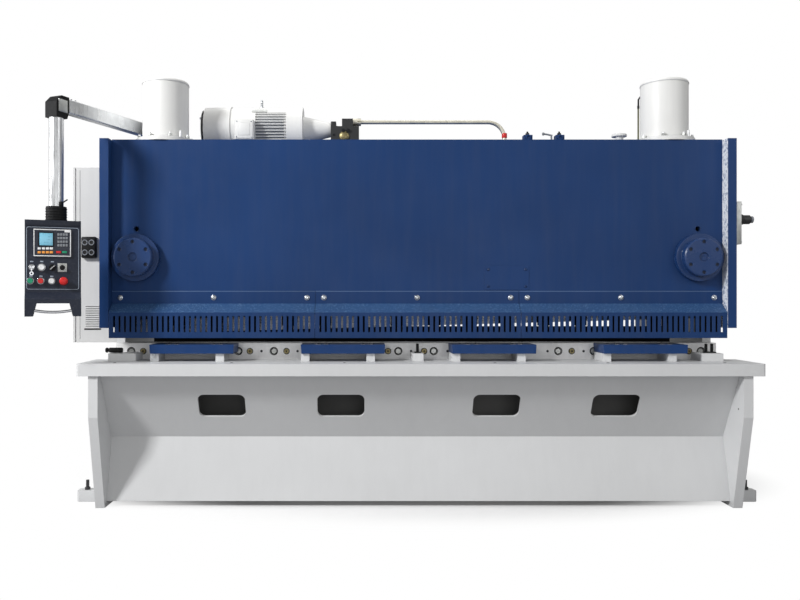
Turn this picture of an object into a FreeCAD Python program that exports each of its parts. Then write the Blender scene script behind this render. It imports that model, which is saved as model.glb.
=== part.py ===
import FreeCAD, Part
import math
import os

# Hydraulic guillotine shear, 3200 mm class. Millimetres, +Z up, the front faces -Y, +X is right.
# The origin is on the floor, at the centre of the four anchor bolts.

# Running clearances
CLEAR = 0.3
MOVING_GAP = 6.0
BLADE_GAP = 5.0
RAM_PLATE_GAP = 28.0
RAM_SIDE_GAP = 50.0

# How far a cutting shape runs past a face, and how near an edge lies to the place it is found by
OVERCUT = 1.0
EDGE_MARGIN = 0.5

# Side frames: half the inner width is the size that the whole width follows
INNER_HALF = 1690.0
SIDE_THICK = 50.0
LEG_FRONT_Y = -895.0
LEG_FOOT_SETBACK = 117.0
LEG_KINK_DROP = 219.0
HEAD_SETBACK = 180.0
FRAME_DEPTH = 1595.0
HEAD_HEIGHT = 1037.0
THROAT_HEIGHT = 181.0
THROAT_DEPTH = 315.0
THROAT_RADIUS = 40.0
REAR_SLOPE_Z = 1300.0
REAR_SETBACK = 180.0

# Table
TABLE_TOP_Z = 785.0
TABLE_THICK = 64.0
TABLE_OVERHANG = 60.0
TABLE_LIP = 15.0
TABLE_CORNER = 14.0
BEAM_SETBACK = 318.0
BEAM_THICK = 72.0
BEAM_RISE = 92.0
BEAM_DROP = 455.0
BOLT_LINE_RISE = 46.0
BOLT_RECESS_R = 23.0
BOLT_RECESS_DEPTH = 22.0
FITTING_R = 17.0
FITTING_DEPTH = 6.0
# Each station: side, distance of the recess from that end, step to the fitting beside it
BOLT_STATIONS = [
    (-1, 85.0, 68.0), (-1, 689.0, 65.0), (-1, 889.0, 71.0), (-1, 1590.0, -58.0),
    (1, 1590.0, -55.0), (1, 889.0, 76.0), (1, 689.0, 66.0), (1, 85.0, -68.0),
]

# Base panel, folded inward along its middle
PANEL_SETBACK = 43.0
PANEL_FOLD_SETBACK = 235.0
PANEL_FOLD_DROP = 356.0
PANEL_FOOT_SETBACK = 150.0
PANEL_FOOT_Z = 29.0
PANEL_THICK = 14.0
SLOT_INSETS = [627.0, 1270.0]
SLOT_WIDTH = 254.0
SLOT_LENGTH = 146.0
SLOT_CORNER_R = 34.0
SLOT_DROP = 174.0
SLOT_OVERCUT = 10.0

# Blocks on the table
BLOCK_COUNT = 4
BLOCK_END_INSET = 463.0
BLOCK_WIDTH = 456.0
BLOCK_DEPTH = 183.0
BLOCK_THICK = 48.0
BLOCK_CHAMFER = 3.0
POST_OFFSETS = [-205.0, 150.0]
POST_WIDTH = 46.0
POST_SETBACK = 15.0
BALL_R = 15.0
BALL_RISE = 5.0
BALL_CUP_R = 19.0
BALL_CUP_HEIGHT = 1.5
BALL_OFFSETS = [-135.0, -90.0, 110.0, 150.0]
BALL_SETBACK = 55.0
END_BLOCK_HEIGHT = 42.0
END_BLOCK_DEPTH = 143.0
LEFT_END_BLOCK_WIDTH = 150.0
RIGHT_END_BLOCK_WIDTH = 116.0
MIDDLE_BLOCK_WIDTH = 60.0
RIGHT_END_BLOCK_INSET = 25.0

# Front plate and guards
FRONT_PLATE_SETBACK = 62.0
FRONT_PLATE_THICK = 25.0
FRONT_PLATE_RISE = 5.0
FRONT_PLATE_FOOT = 119.0
BOSS_INSET = 136.0
BOSS_RISE = 387.0
BOSS_FLANGE_R = 131.0
BOSS_FLANGE_DEPTH = 34.0
BOSS_DISC_R = 105.0
BOSS_DEPTH = 82.0
BOSS_EDGE = 6.0
BOSS_BOLT_CIRCLE_R = 83.0
BOSS_BOLT_R = 10.0
BOSS_BOLT_COUNT = 6
BOSS_BOLT_START_DEG = 30.0
BOSS_BOLT_DEPTH = 12.0
BOSS_CENTRE_R = 25.0
BOSS_CENTRE_DEPTH = 8.0
SIGHT_HOLE_RISE = 160.0
SIGHT_HOLE_R = 13.0
ACCESS_LEFT_X = 372.0
ACCESS_WIDTH = 247.0
ACCESS_HEIGHT = 134.0
ACCESS_RISE = 7.0
ACCESS_THICK = 2.0
GUARD_SIDE_GAP = 1.5
GUARD_JOINT = 2.0
GUARD_SHEET = 3.0
GUARD_REACH = 62.0
GUARD_TOP_RISE = 202.0
GUARD_FLANGE_HEIGHT = 68.0
GUARD_SLOPE_HEIGHT = 48.0
GUARD_FACE_HEIGHT = 141.0
GUARD_SLOT_PITCH = 29.6
GUARD_SLOT_WIDTH = 10.7
GUARD_SLOT_DROP = 21.0
GUARD_SLOT_HEIGHT = 87.0
GUARD_END_MARGIN = 24.0

# Hold-down row and the guides at its ends
HOLD_BEAM_DEPTH = 120.0
HOLD_BEAM_HEIGHT = 110.0
HOLD_R = 36.0
HOLD_FOOT_R = 27.0
HOLD_PITCH = 206.0
HOLD_END_INSET = 350.0
HOLD_BODY_HEIGHT = 110.0
SHEET_SPACE = 39.0
GUIDE_INSETS = [238.0, 50.0]
GUIDE_WIDTH = 92.0
GUIDE_DEPTH = 100.0

# Blade beam and blades, raked so that the cut starts at the left
BLADE_THICK = 25.0
BLADE_HEIGHT = 80.0
LOWER_BLADE_RISE = 3.0
BLADE_OPENING = 48.0
RAKE_HEIGHT = 90.0
STROKE = 140.0
RAM_THICK = 70.0
RAM_HEIGHT = 575.0
RAM_LEDGE = 22.0
RAM_HEAD_HALF = 150.0
RAM_HEAD_HEIGHT = 120.0
ROD_R = 52.0
ROD_LENGTH = 400.0

# Cylinders on the deck
CYLINDER_INSET = 262.0
CYLINDER_SETBACK = 128.0
CYLINDER_R = 130.0
CYLINDER_HEIGHT = 355.0
CYLINDER_EDGE = 7.0
CYLINDER_FLANGE_R = 164.0
CYLINDER_FLANGE_THICK = 22.0
CYLINDER_FOOT_R = 110.0
CYLINDER_FOOT_LENGTH = 228.0
DECK_THICK = 25.0
DECK_LIP = 40.0

# Oil tank under the deck, behind the blade beam
TANK_SETBACK = 80.0
TANK_DEPTH = 660.0
TANK_HEIGHT = 483.0
TANK_SIDE_GAP = 190.0
TANK_EDGE = 15.0

# Motor, pump and valve block in one line along X
POWER_SETBACK = 403.0
SHAFT_HEIGHT = 138.0
MOTOR_INSET = 450.0
COWL_LENGTH = 157.0
COWL_R = 137.0
COWL_NARROW_R = 131.0
MOTOR_LENGTH = 428.0
MOTOR_R = 118.0
MOTOR_FIN_R = 131.0
MOTOR_FIN_STEP_DEG = 8.0
MOTOR_FIN_THICK = 5.0
MOTOR_FLANGE_THICK = 31.0
FIN_WINDOW_INSET = 151.0
FIN_WINDOW_LENGTH = 182.0
FIN_WINDOW_RISE = 82.0
MOTOR_FLANGE_R = 131.5
BELL_LENGTH = 166.0
BELL_BIG_R = 81.0
BELL_SMALL_R = 42.0
MOTOR_FOOT_INSETS = [88.0, 288.0]
MOTOR_FOOT_WIDTH = 60.0
MOTOR_FOOT_DEPTH = 188.0
TERMINAL_INSET = 38.0
TERMINAL_WIDTH = 111.0
TERMINAL_DEPTH = 180.0
TERMINAL_DROP = 90.0
TERMINAL_HEIGHT = 116.0
VALVE_WIDTH = 169.0
VALVE_HEIGHT = 149.0
VALVE_DEPTH = 130.0
SOLENOID_INSET = 67.0
SOLENOID_WIDTH = 66.0
SOLENOID_DEPTH = 97.0
SOLENOID_HEIGHT = 45.0
PIPE_R = 12.0
PIPE_RISE = 186.0
PIPE_RUN = 916.0
PIPE_BEND_R = 100.0
PIPE_NUT_R = 22.0
PIPE_NUT_LENGTH = 48.0
PIPE_COLLAR_R = 19.0
PIPE_COLLAR_HEIGHT = 34.0

# Fittings on the deck
DECK_BLOCK_INSETS = [1068.0, 890.0]
DECK_BLOCK_WIDTH = 48.0
DECK_BLOCK_HEIGHT = 32.0
DECK_BLOCK_SETBACK = 53.0
CAP_INSET = 453.0
CAP_SETBACK = 353.0
CAP_R = 42.0
CAP_HEIGHT = 14.0
CAP_NECK_R = 24.0
CAP_NECK_HEIGHT = 87.0

# Side valve on the right side frame
SIDE_VALVE_SETBACK = 55.0
SIDE_VALVE_RISE = 460.0
SIDE_PLATE_HEIGHT = 232.0
SIDE_PLATE_DEPTH = 80.0
SIDE_PLATE_THICK = 31.0
SIDE_BODY_R = 38.0
SIDE_BODY_LENGTH = 10.0
SIDE_CORE_R = 25.0
SIDE_CORE_LENGTH = 53.0
SIDE_TIP_R = 17.0
SIDE_TIP_LENGTH = 20.0
SIDE_CORE_RISE = 137.0

# Foot lugs with anchor holes
LUG_REACH = 147.0
LUG_DEPTH = 72.0
LUG_HEIGHT = 60.0
LUG_CORNER = 12.0
LUG_FRONT_INSET = 283.0
LUG_REAR_INSET = 88.0
ANCHOR_REACH = 45.0
ANCHOR_R = 11.0
LEVEL_SCREW_REACH = 98.0
LEVEL_SCREW_R = 9.0
LEVEL_SCREW_RISE = 40.0
LEVEL_NUT_R = 15.0
LEVEL_NUT_HEIGHT = 14.0

# Rear tie beam and back gauge
TIE_BOTTOM_Z = 80.0
TIE_HEIGHT = 220.0
TIE_DEPTH = 120.0
TIE_INSET = 40.0
GAUGE_SIDE_GAP = 130.0
GAUGE_SETBACK = 230.0
GAUGE_DEPTH = 40.0
GAUGE_HEIGHT = 110.0
GAUGE_DROP = 27.0
GAUGE_ARM_INSET = 590.0
GAUGE_ARM_WIDTH = 90.0
GAUGE_ARM_HEIGHT = 70.0
GAUGE_ARM_LENGTH = 925.0

# Electrical cabinet on the left side frame
CABINET_WIDTH = 238.0
CABINET_DEPTH = 500.0
CABINET_HEIGHT = 1024.0
CABINET_DROP = 95.0
CABINET_WALL = 3.0
CABINET_LIP = 18.0
DOOR_THICK = 12.0
DOOR_GAP = 5.0
DOOR_REAR_INSET = 2.0
HINGE_BACK = 12.0
HINGE_PIN_R = 5.0
HINGE_KNUCKLE_R = 9.0
HINGE_KNUCKLE_HEIGHT = 50.0
HINGE_LEAF_HEIGHT = 26.0
HINGE_LEAF_WIDTH = 12.0
HINGE_LEAF_GAP = 1.0
HINGE_INSET = 160.0
SOCKET_INSET = 38.0
SOCKET_WIDTH = 87.0
SOCKET_HEIGHT = 125.0
SOCKET_DEPTH = 30.0
SOCKET_DROP = 407.0

# Pendant arm, which turns on a post behind the left cylinder
POST_INSET = 163.0
POST_Y_SETBACK = 432.5
POST_HEIGHT = 37.0
POST_R = 40.0
POST_FLANGE_R = 75.0
POST_FLANGE_THICK = 14.0
POST_PIN_R = 20.0
POST_PIN_RISE = 60.0
POST_RUN_GAP = 0.5
PIVOT_R = 55.0
ARM_LENGTH = 850.0
ARM_ANGLE_DEG = 23.5
ARM_RISE = 38.0
ARM_HEIGHT = 73.0
ARM_WIDTH = 50.0
ARM_EDGE = 5.0
ELBOW_HEIGHT = 113.0
ELBOW_HALF_WIDTH = 38.0
ELBOW_FRONT = 37.0
ELBOW_BACK = 50.0
ELBOW_SLOPE = 34.0
DROP_TUBE_R = 36.0
DROP_LENGTH = 526.0

# Pendant box under the drop tube
COLLAR_R = 50.0
COLLAR_HEIGHT = 74.0
PENDANT_TURN_DEG = 21.0
BOX_OFFSET = 15.0
BOX_WIDTH = 264.0
BOX_DEPTH = 120.0
BOX_SQUARE_DEPTH = 45.0
BOX_REAR_INSET = 30.0
BOX_HEIGHT = 482.0
BOX_LOWER_HEIGHT = 85.0
BOX_LOWER_STEP = 36.0
GRIP_FOOT_WIDTH = 189.0
GRIP_TOP_WIDTH = 157.0
GRIP_HEIGHT = 65.0
HANDLE_R = 7.0
HANDLE_RISE = 21.0
HANDLE_BOW = 10.0
DISPLAY_INSET = 41.0
DISPLAY_WIDTH = 175.0
DISPLAY_HEIGHT = 136.0
DISPLAY_DROP = 46.0
DISPLAY_DEPTH = 6.0
SMALL_BUTTON_R = 13.0
STOP_BUTTON_R = 22.0
BUTTON_DEPTH = 16.0
STOP_BUTTON_DEPTH = 30.0
UPPER_ROW_DROP = 237.0
LOWER_ROW_DROP = 305.0
UPPER_ROW_INSETS = [32.0, 78.0, 129.0]
LOWER_ROW_INSETS = [26.0, 74.0, 125.0]
STOP_BUTTON_INSET = 181.0
DIAL_INSET = 175.0
DIAL_SIZE = 44.0

# Places across the machine
OUTER_HALF = INNER_HALF + SIDE_THICK
TABLE_HALF = OUTER_HALF + TABLE_OVERHANG
RAM_HALF = INNER_HALF - RAM_SIDE_GAP
BOSS_X = INNER_HALF - BOSS_INSET
CYLINDER_X = INNER_HALF - CYLINDER_INSET
TANK_HALF = INNER_HALF - TANK_SIDE_GAP
GAUGE_HALF = INNER_HALF - GAUGE_SIDE_GAP
GUARD_WIDTH = (2 * (INNER_HALF - GUARD_SIDE_GAP) - 2 * GUARD_JOINT) / 3
COWL_LEFT_X = MOTOR_INSET - INNER_HALF
COWL_RIGHT_X = COWL_LEFT_X + COWL_LENGTH
MOTOR_RIGHT_X = COWL_RIGHT_X + MOTOR_LENGTH
BELL_RIGHT_X = MOTOR_RIGHT_X + BELL_LENGTH
VALVE_RIGHT_X = BELL_RIGHT_X + VALVE_WIDTH
SOLENOID_X = BELL_RIGHT_X + SOLENOID_INSET
PIPE_START_X = SOLENOID_X + SOLENOID_WIDTH
PIPE_DOWN_X = PIPE_START_X + PIPE_RUN

# Levels
TABLE_BOTTOM_Z = TABLE_TOP_Z - TABLE_THICK
BEAM_TOP_Z = TABLE_TOP_Z + BEAM_RISE
BOLT_LINE_Z = TABLE_TOP_Z + BOLT_LINE_RISE
HEAD_BOTTOM_Z = TABLE_TOP_Z + THROAT_HEIGHT
HEAD_TOP_Z = HEAD_BOTTOM_Z + HEAD_HEIGHT
PLATE_TOP_Z = HEAD_TOP_Z + FRONT_PLATE_RISE
PLATE_BOTTOM_Z = HEAD_BOTTOM_Z + FRONT_PLATE_FOOT
DECK_BOTTOM_Z = PLATE_TOP_Z - DECK_THICK
BOSS_Z = HEAD_BOTTOM_Z + BOSS_RISE
GUARD_TOP_Z = HEAD_BOTTOM_Z + GUARD_TOP_RISE
GUARD_BEND_Z = GUARD_TOP_Z - GUARD_FLANGE_HEIGHT
GUARD_KNEE_Z = GUARD_BEND_Z - GUARD_SLOPE_HEIGHT
GUARD_BOTTOM_Z = GUARD_KNEE_Z - GUARD_FACE_HEIGHT
HOLD_FOOT_Z = BEAM_TOP_Z + SHEET_SPACE
RAKE_LOW_Z = BEAM_TOP_Z + BLADE_OPENING
RAM_TOP_Z = RAKE_LOW_Z + RAM_HEIGHT
ROD_TOP_Z = RAM_TOP_Z + RAM_HEAD_HEIGHT + ROD_LENGTH
CYLINDER_TOP_Z = PLATE_TOP_Z + CYLINDER_HEIGHT
CYLINDER_FOOT_Z = PLATE_TOP_Z - CYLINDER_FOOT_LENGTH
POWER_Z = PLATE_TOP_Z + SHAFT_HEIGHT
PIPE_Z = PLATE_TOP_Z + PIPE_RISE
ELBOW_BOTTOM_Z = PLATE_TOP_Z + POST_HEIGHT
ELBOW_TOP_Z = ELBOW_BOTTOM_Z + ELBOW_HEIGHT
ARM_BOTTOM_Z = ELBOW_BOTTOM_Z + ARM_RISE
BOX_TOP_Z = ELBOW_BOTTOM_Z - DROP_LENGTH
BOX_BOTTOM_Z = BOX_TOP_Z - BOX_HEIGHT
GRIP_TOP_Z = BOX_BOTTOM_Z + GRIP_HEIGHT
UPPER_ROW_Z = BOX_TOP_Z - UPPER_ROW_DROP
LOWER_ROW_Z = BOX_TOP_Z - LOWER_ROW_DROP

# Places from front to back
REAR_Y = LEG_FRONT_Y + FRAME_DEPTH
REAR_TOP_Y = REAR_Y - REAR_SETBACK
LEG_FOOT_Y = LEG_FRONT_Y + LEG_FOOT_SETBACK
HEAD_FRONT_Y = LEG_FRONT_Y + HEAD_SETBACK
THROAT_BACK_Y = HEAD_FRONT_Y + THROAT_DEPTH
TABLE_FRONT_Y = LEG_FRONT_Y - TABLE_LIP
BEAM_FRONT_Y = LEG_FRONT_Y + BEAM_SETBACK
BEAM_REAR_Y = BEAM_FRONT_Y + BEAM_THICK
CUT_PLANE_Y = BEAM_REAR_Y + BLADE_THICK
RAM_FRONT_Y = CUT_PLANE_Y + BLADE_GAP + BLADE_THICK
RAM_REAR_Y = RAM_FRONT_Y + RAM_THICK
BLOCK_FRONT_Y = BEAM_FRONT_Y - BLOCK_DEPTH
BALL_Y = BLOCK_FRONT_Y + BALL_SETBACK
PLATE_FRONT_Y = HEAD_FRONT_Y + FRONT_PLATE_SETBACK
PLATE_REAR_Y = PLATE_FRONT_Y + FRONT_PLATE_THICK
HOLD_REAR_Y = PLATE_REAR_Y + HOLD_BEAM_DEPTH
HOLD_Y = PLATE_REAR_Y + HOLD_BEAM_DEPTH / 2
CYLINDER_Y = PLATE_REAR_Y + CYLINDER_SETBACK
TANK_FRONT_Y = RAM_REAR_Y + TANK_SETBACK
TANK_REAR_Y = TANK_FRONT_Y + TANK_DEPTH
DECK_REAR_Y = TANK_REAR_Y + DECK_LIP
POWER_Y = PLATE_FRONT_Y + POWER_SETBACK
SIDE_VALVE_Y = HEAD_FRONT_Y + SIDE_VALVE_SETBACK
GAUGE_Y = CUT_PLANE_Y + GAUGE_SETBACK

os.makedirs("parts", exist_ok=True)


def save(name, shape):
    shape.exportStep("parts/" + name + ".step")


def vec(x, y, z):
    return FreeCAD.Vector(x, y, z)


def block(x0, x1, y0, y1, z0, z1):
    return Part.makeBox(x1 - x0, y1 - y0, z1 - z0, vec(x0, y0, z0))


def centred_block(x, y, width, depth, z0, z1):
    return block(x - width / 2, x + width / 2, y - depth / 2, y + depth / 2, z0, z1)


def disc(radius, height, x, y, z, axis):
    return Part.makeCylinder(radius, height, vec(x, y, z), axis)


def upright(radius, x, y, z0, z1):
    return disc(radius, z1 - z0, x, y, z0, vec(0, 0, 1))


def forward(radius, depth, x, y_back, z):
    return disc(radius, depth, x, y_back, z, vec(0, -1, 0))


def prism_x(points, x0, x1):
    """A solid with the outline of (y, z) points, drawn out from x0 to x1."""
    corners = [vec(x0, y, z) for y, z in points]
    face = Part.Face(Part.makePolygon(corners + corners[:1]))
    return face.extrude(vec(x1 - x0, 0, 0))


def prism_y(points, y0, y1):
    """A solid with the outline of (x, z) points, drawn out from y0 to y1."""
    corners = [vec(x, y0, z) for x, z in points]
    face = Part.Face(Part.makePolygon(corners + corners[:1]))
    return face.extrude(vec(0, y1 - y0, 0))


def prism_z(points, z0, z1):
    """A solid with the outline of (x, y) points, drawn up from z0 to z1."""
    corners = [vec(x, y, z0) for x, y in points]
    face = Part.Face(Part.makePolygon(corners + corners[:1]))
    return face.extrude(vec(0, 0, z1 - z0))


def edges_along(shape, direction, test):
    """Straight edges parallel to direction whose middle passes the test."""
    chosen = []
    for edge in shape.Edges:
        if isinstance(edge.Curve, Part.Line):
            along = edge.Curve.Direction
            if abs(abs(along.dot(direction)) - 1) < 1e-6 and test(edge.CenterOfMass):
                chosen.append(edge)
    return chosen


def joined(shapes):
    whole = shapes[0]
    for shape in shapes[1:]:
        whole = whole.fuse(shape)
    return whole.removeSplitter()


def group(shapes):
    return Part.makeCompound(shapes)


def mirrored(shape):
    return shape.mirror(vec(0, 0, 0), vec(1, 0, 0))


# Side frames: a white leg below, a throat for the sheet and a head above
def side_frame():
    outline = [
        (LEG_FOOT_Y, 0),
        (LEG_FRONT_Y, TABLE_BOTTOM_Z - LEG_KINK_DROP),
        (LEG_FRONT_Y, TABLE_BOTTOM_Z),
        (BEAM_FRONT_Y, TABLE_BOTTOM_Z),
        (BEAM_FRONT_Y, TABLE_TOP_Z),
        (THROAT_BACK_Y, TABLE_TOP_Z),
        (THROAT_BACK_Y, HEAD_BOTTOM_Z),
        (HEAD_FRONT_Y, HEAD_BOTTOM_Z),
        (HEAD_FRONT_Y, HEAD_TOP_Z),
        (REAR_TOP_Y, HEAD_TOP_Z),
        (REAR_TOP_Y, REAR_SLOPE_Z + REAR_Y - REAR_TOP_Y),
        (REAR_Y, REAR_SLOPE_Z),
        (REAR_Y, 0),
    ]
    plate = prism_x(outline, INNER_HALF, OUTER_HALF)

    def in_throat(middle):
        return abs(middle.y - THROAT_BACK_Y) < EDGE_MARGIN

    return plate.makeFillet(THROAT_RADIUS, edges_along(plate, vec(1, 0, 0), in_throat))


right_frame = side_frame()
save("side_frame_right", right_frame)
save("side_frame_left", mirrored(right_frame))


# Foot lugs: thick blocks outside the legs, each with an open anchor hole
ANCHOR_X = OUTER_HALF + ANCHOR_REACH
LEVEL_SCREW_X = OUTER_HALF + LEVEL_SCREW_REACH


def foot_lug(y):
    lug = block(OUTER_HALF, OUTER_HALF + LUG_REACH, y - LUG_DEPTH / 2, y + LUG_DEPTH / 2, 0, LUG_HEIGHT)

    def at_tip(middle):
        return middle.x > OUTER_HALF + LUG_REACH - EDGE_MARGIN

    lug = lug.makeChamfer(LUG_CORNER, edges_along(lug, vec(0, 0, 1), at_tip))
    lug = lug.cut(upright(ANCHOR_R, ANCHOR_X, y, -OVERCUT, LUG_HEIGHT + OVERCUT))
    nut_top = LUG_HEIGHT + LEVEL_NUT_HEIGHT
    screw = upright(LEVEL_SCREW_R, LEVEL_SCREW_X, y, nut_top, nut_top + LEVEL_SCREW_RISE)
    nut = upright(LEVEL_NUT_R, LEVEL_SCREW_X, y, LUG_HEIGHT, nut_top)
    return joined([lug, nut, screw])


lugs_right = [foot_lug(LEG_FRONT_Y + LUG_FRONT_INSET), foot_lug(REAR_Y - LUG_REAR_INSET)]
save("foot_lugs", group(lugs_right + [mirrored(lug) for lug in lugs_right]))


# Table beam with its row of bolt recesses, and the lower blade on its rear edge
def table_beam():
    beam = block(-INNER_HALF, INNER_HALF, BEAM_FRONT_Y, BEAM_REAR_Y, TABLE_TOP_Z - BEAM_DROP, BEAM_TOP_Z)
    for side, inset, fitting_step in BOLT_STATIONS:
        x = side * (INNER_HALF - inset)
        recess_back = BEAM_FRONT_Y + BOLT_RECESS_DEPTH
        beam = beam.cut(forward(BOLT_RECESS_R, BOLT_RECESS_DEPTH + OVERCUT, x, recess_back, BOLT_LINE_Z))
        fitting_back = BEAM_FRONT_Y + FITTING_DEPTH
        beam = beam.cut(forward(FITTING_R, FITTING_DEPTH + OVERCUT, x + fitting_step,
                                fitting_back, BOLT_LINE_Z))
    return beam


save("table_beam", table_beam())
lower_top_z = BEAM_TOP_Z + LOWER_BLADE_RISE
save("lower_blade", block(-RAM_HALF, RAM_HALF, BEAM_REAR_Y, CUT_PLANE_Y,
                          lower_top_z - BLADE_HEIGHT, lower_top_z))


def table_plate():
    plate = block(-TABLE_HALF, TABLE_HALF, TABLE_FRONT_Y, BEAM_FRONT_Y, TABLE_BOTTOM_Z, TABLE_TOP_Z)

    def at_front_corner(middle):
        return middle.y < TABLE_FRONT_Y + EDGE_MARGIN

    return plate.makeFillet(TABLE_CORNER, edges_along(plate, vec(0, 0, 1), at_front_corner))


save("table_plate", table_plate())


# Base panel: two slopes meeting at a fold, with four rounded slots in the upper one
PANEL_TOP_Y = LEG_FRONT_Y + PANEL_SETBACK
PANEL_FOLD_Y = LEG_FRONT_Y + PANEL_FOLD_SETBACK
PANEL_FOLD_Z = TABLE_BOTTOM_Z - PANEL_FOLD_DROP
PANEL_FOOT_Y = LEG_FRONT_Y + PANEL_FOOT_SETBACK


def base_panel():
    upper = vec(0, PANEL_FOLD_Y - PANEL_TOP_Y, PANEL_FOLD_Z - TABLE_BOTTOM_Z)
    slope_length = upper.Length
    down = vec(0, upper.y / slope_length, upper.z / slope_length)
    inward = vec(0, -down.z, down.y)
    lower = vec(0, PANEL_FOOT_Y - PANEL_FOLD_Y, PANEL_FOOT_Z - PANEL_FOLD_Z)
    flat = PANEL_THICK / math.cos(math.atan2(upper.y, -upper.z))
    lower_flat = PANEL_THICK / math.cos(math.atan2(-lower.y, -lower.z))
    outline = [
        (PANEL_TOP_Y, TABLE_BOTTOM_Z),
        (PANEL_FOLD_Y, PANEL_FOLD_Z),
        (PANEL_FOOT_Y, PANEL_FOOT_Z),
        (PANEL_FOOT_Y + lower_flat, PANEL_FOOT_Z),
        (PANEL_FOLD_Y + flat, PANEL_FOLD_Z),
        (PANEL_TOP_Y + flat, TABLE_BOTTOM_Z),
    ]
    panel = prism_x(outline, -INNER_HALF, INNER_HALF)
    drop = SLOT_DROP / -down.z
    centre = vec(0, PANEL_TOP_Y, TABLE_BOTTOM_Z) + down * drop
    slot_x = [side * (INNER_HALF - inset) for side in (-1, 1) for inset in SLOT_INSETS]
    tool_depth = PANEL_THICK + 2 * SLOT_OVERCUT
    for x in slot_x:
        tool = Part.makeBox(SLOT_WIDTH, SLOT_LENGTH, tool_depth)
        rims = edges_along(tool, vec(0, 0, 1), lambda middle: True)
        tool = tool.makeFillet(SLOT_CORNER_R, rims)
        tool.translate(vec(-SLOT_WIDTH / 2, -SLOT_LENGTH / 2, -tool_depth / 2))
        turn = FreeCAD.Rotation(vec(1, 0, 0), down * -1, inward, "XYZ")
        tool.Placement = FreeCAD.Placement(centre + vec(x, 0, 0), turn).multiply(tool.Placement)
        panel = panel.cut(tool)
    return panel


save("base_panel", base_panel())


# Support blocks with chamfered ends, their posts and ball transfers
def support_block(x):
    half = BLOCK_WIDTH / 2
    outline = [
        (x - half, BEAM_TOP_Z),
        (x - half + BLOCK_CHAMFER, BEAM_TOP_Z - BLOCK_THICK),
        (x + half - BLOCK_CHAMFER, BEAM_TOP_Z - BLOCK_THICK),
        (x + half, BEAM_TOP_Z),
    ]
    body = prism_y(outline, BLOCK_FRONT_Y, BEAM_FRONT_Y)
    for offset in BALL_OFFSETS:
        ball_low_z = BEAM_TOP_Z + BALL_RISE - 2 * BALL_R
        seat = upright(BALL_R + CLEAR, x + offset, BALL_Y, ball_low_z, BEAM_TOP_Z + OVERCUT)
        body = body.cut(seat)
    return body


def ball_transfer(x):
    ball = Part.makeSphere(BALL_R, vec(x, BALL_Y, BEAM_TOP_Z + BALL_RISE - BALL_R))
    cup = upright(BALL_CUP_R, x, BALL_Y, BEAM_TOP_Z, BEAM_TOP_Z + BALL_CUP_HEIGHT)
    return joined([ball, cup])


def across(width, centre_x, y0, y1, z0, z1):
    return block(centre_x - width / 2, centre_x + width / 2, y0, y1, z0, z1)


block_half_span = INNER_HALF - BLOCK_END_INSET
block_step = 2 * block_half_span / (BLOCK_COUNT - 1)
block_places = [-block_half_span + index * block_step for index in range(BLOCK_COUNT)]
save("table_blocks", group([support_block(x) for x in block_places]))
posts = []
balls = []
for block_x in block_places:
    for post_offset in POST_OFFSETS:
        posts.append(across(POST_WIDTH, block_x + post_offset, BLOCK_FRONT_Y + POST_SETBACK,
                            BEAM_FRONT_Y - POST_SETBACK, TABLE_TOP_Z, BEAM_TOP_Z - BLOCK_THICK))
    for ball_offset in BALL_OFFSETS:
        balls.append(ball_transfer(block_x + ball_offset))
save("block_posts", group(posts))
save("ball_transfers", group(balls))
end_blocks = [
    (LEFT_END_BLOCK_WIDTH, LEFT_END_BLOCK_WIDTH / 2 - INNER_HALF),
    (MIDDLE_BLOCK_WIDTH, 0),
    (RIGHT_END_BLOCK_WIDTH, INNER_HALF - RIGHT_END_BLOCK_INSET - RIGHT_END_BLOCK_WIDTH / 2),
]
save("end_blocks", group([
    across(width, x, BEAM_FRONT_Y - END_BLOCK_DEPTH, BEAM_FRONT_Y,
           TABLE_TOP_Z, TABLE_TOP_Z + END_BLOCK_HEIGHT)
    for width, x in end_blocks
]))


# Front plate with a sight hole above each boss, and the small access panel
def front_plate():
    plate = block(-INNER_HALF, INNER_HALF, PLATE_FRONT_Y, PLATE_REAR_Y, PLATE_BOTTOM_Z, PLATE_TOP_Z)
    hole_z = BOSS_Z + SIGHT_HOLE_RISE
    for x in (-BOSS_X, BOSS_X):
        plate = plate.cut(forward(SIGHT_HOLE_R, FRONT_PLATE_THICK + 2 * OVERCUT,
                                  x, PLATE_REAR_Y + OVERCUT, hole_z))
    return plate


save("front_plate", front_plate())
access_bottom_z = GUARD_TOP_Z + ACCESS_RISE
save("access_panel", block(ACCESS_LEFT_X, ACCESS_LEFT_X + ACCESS_WIDTH,
                           PLATE_FRONT_Y - ACCESS_THICK, PLATE_FRONT_Y,
                           access_bottom_z, access_bottom_z + ACCESS_HEIGHT))


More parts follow.
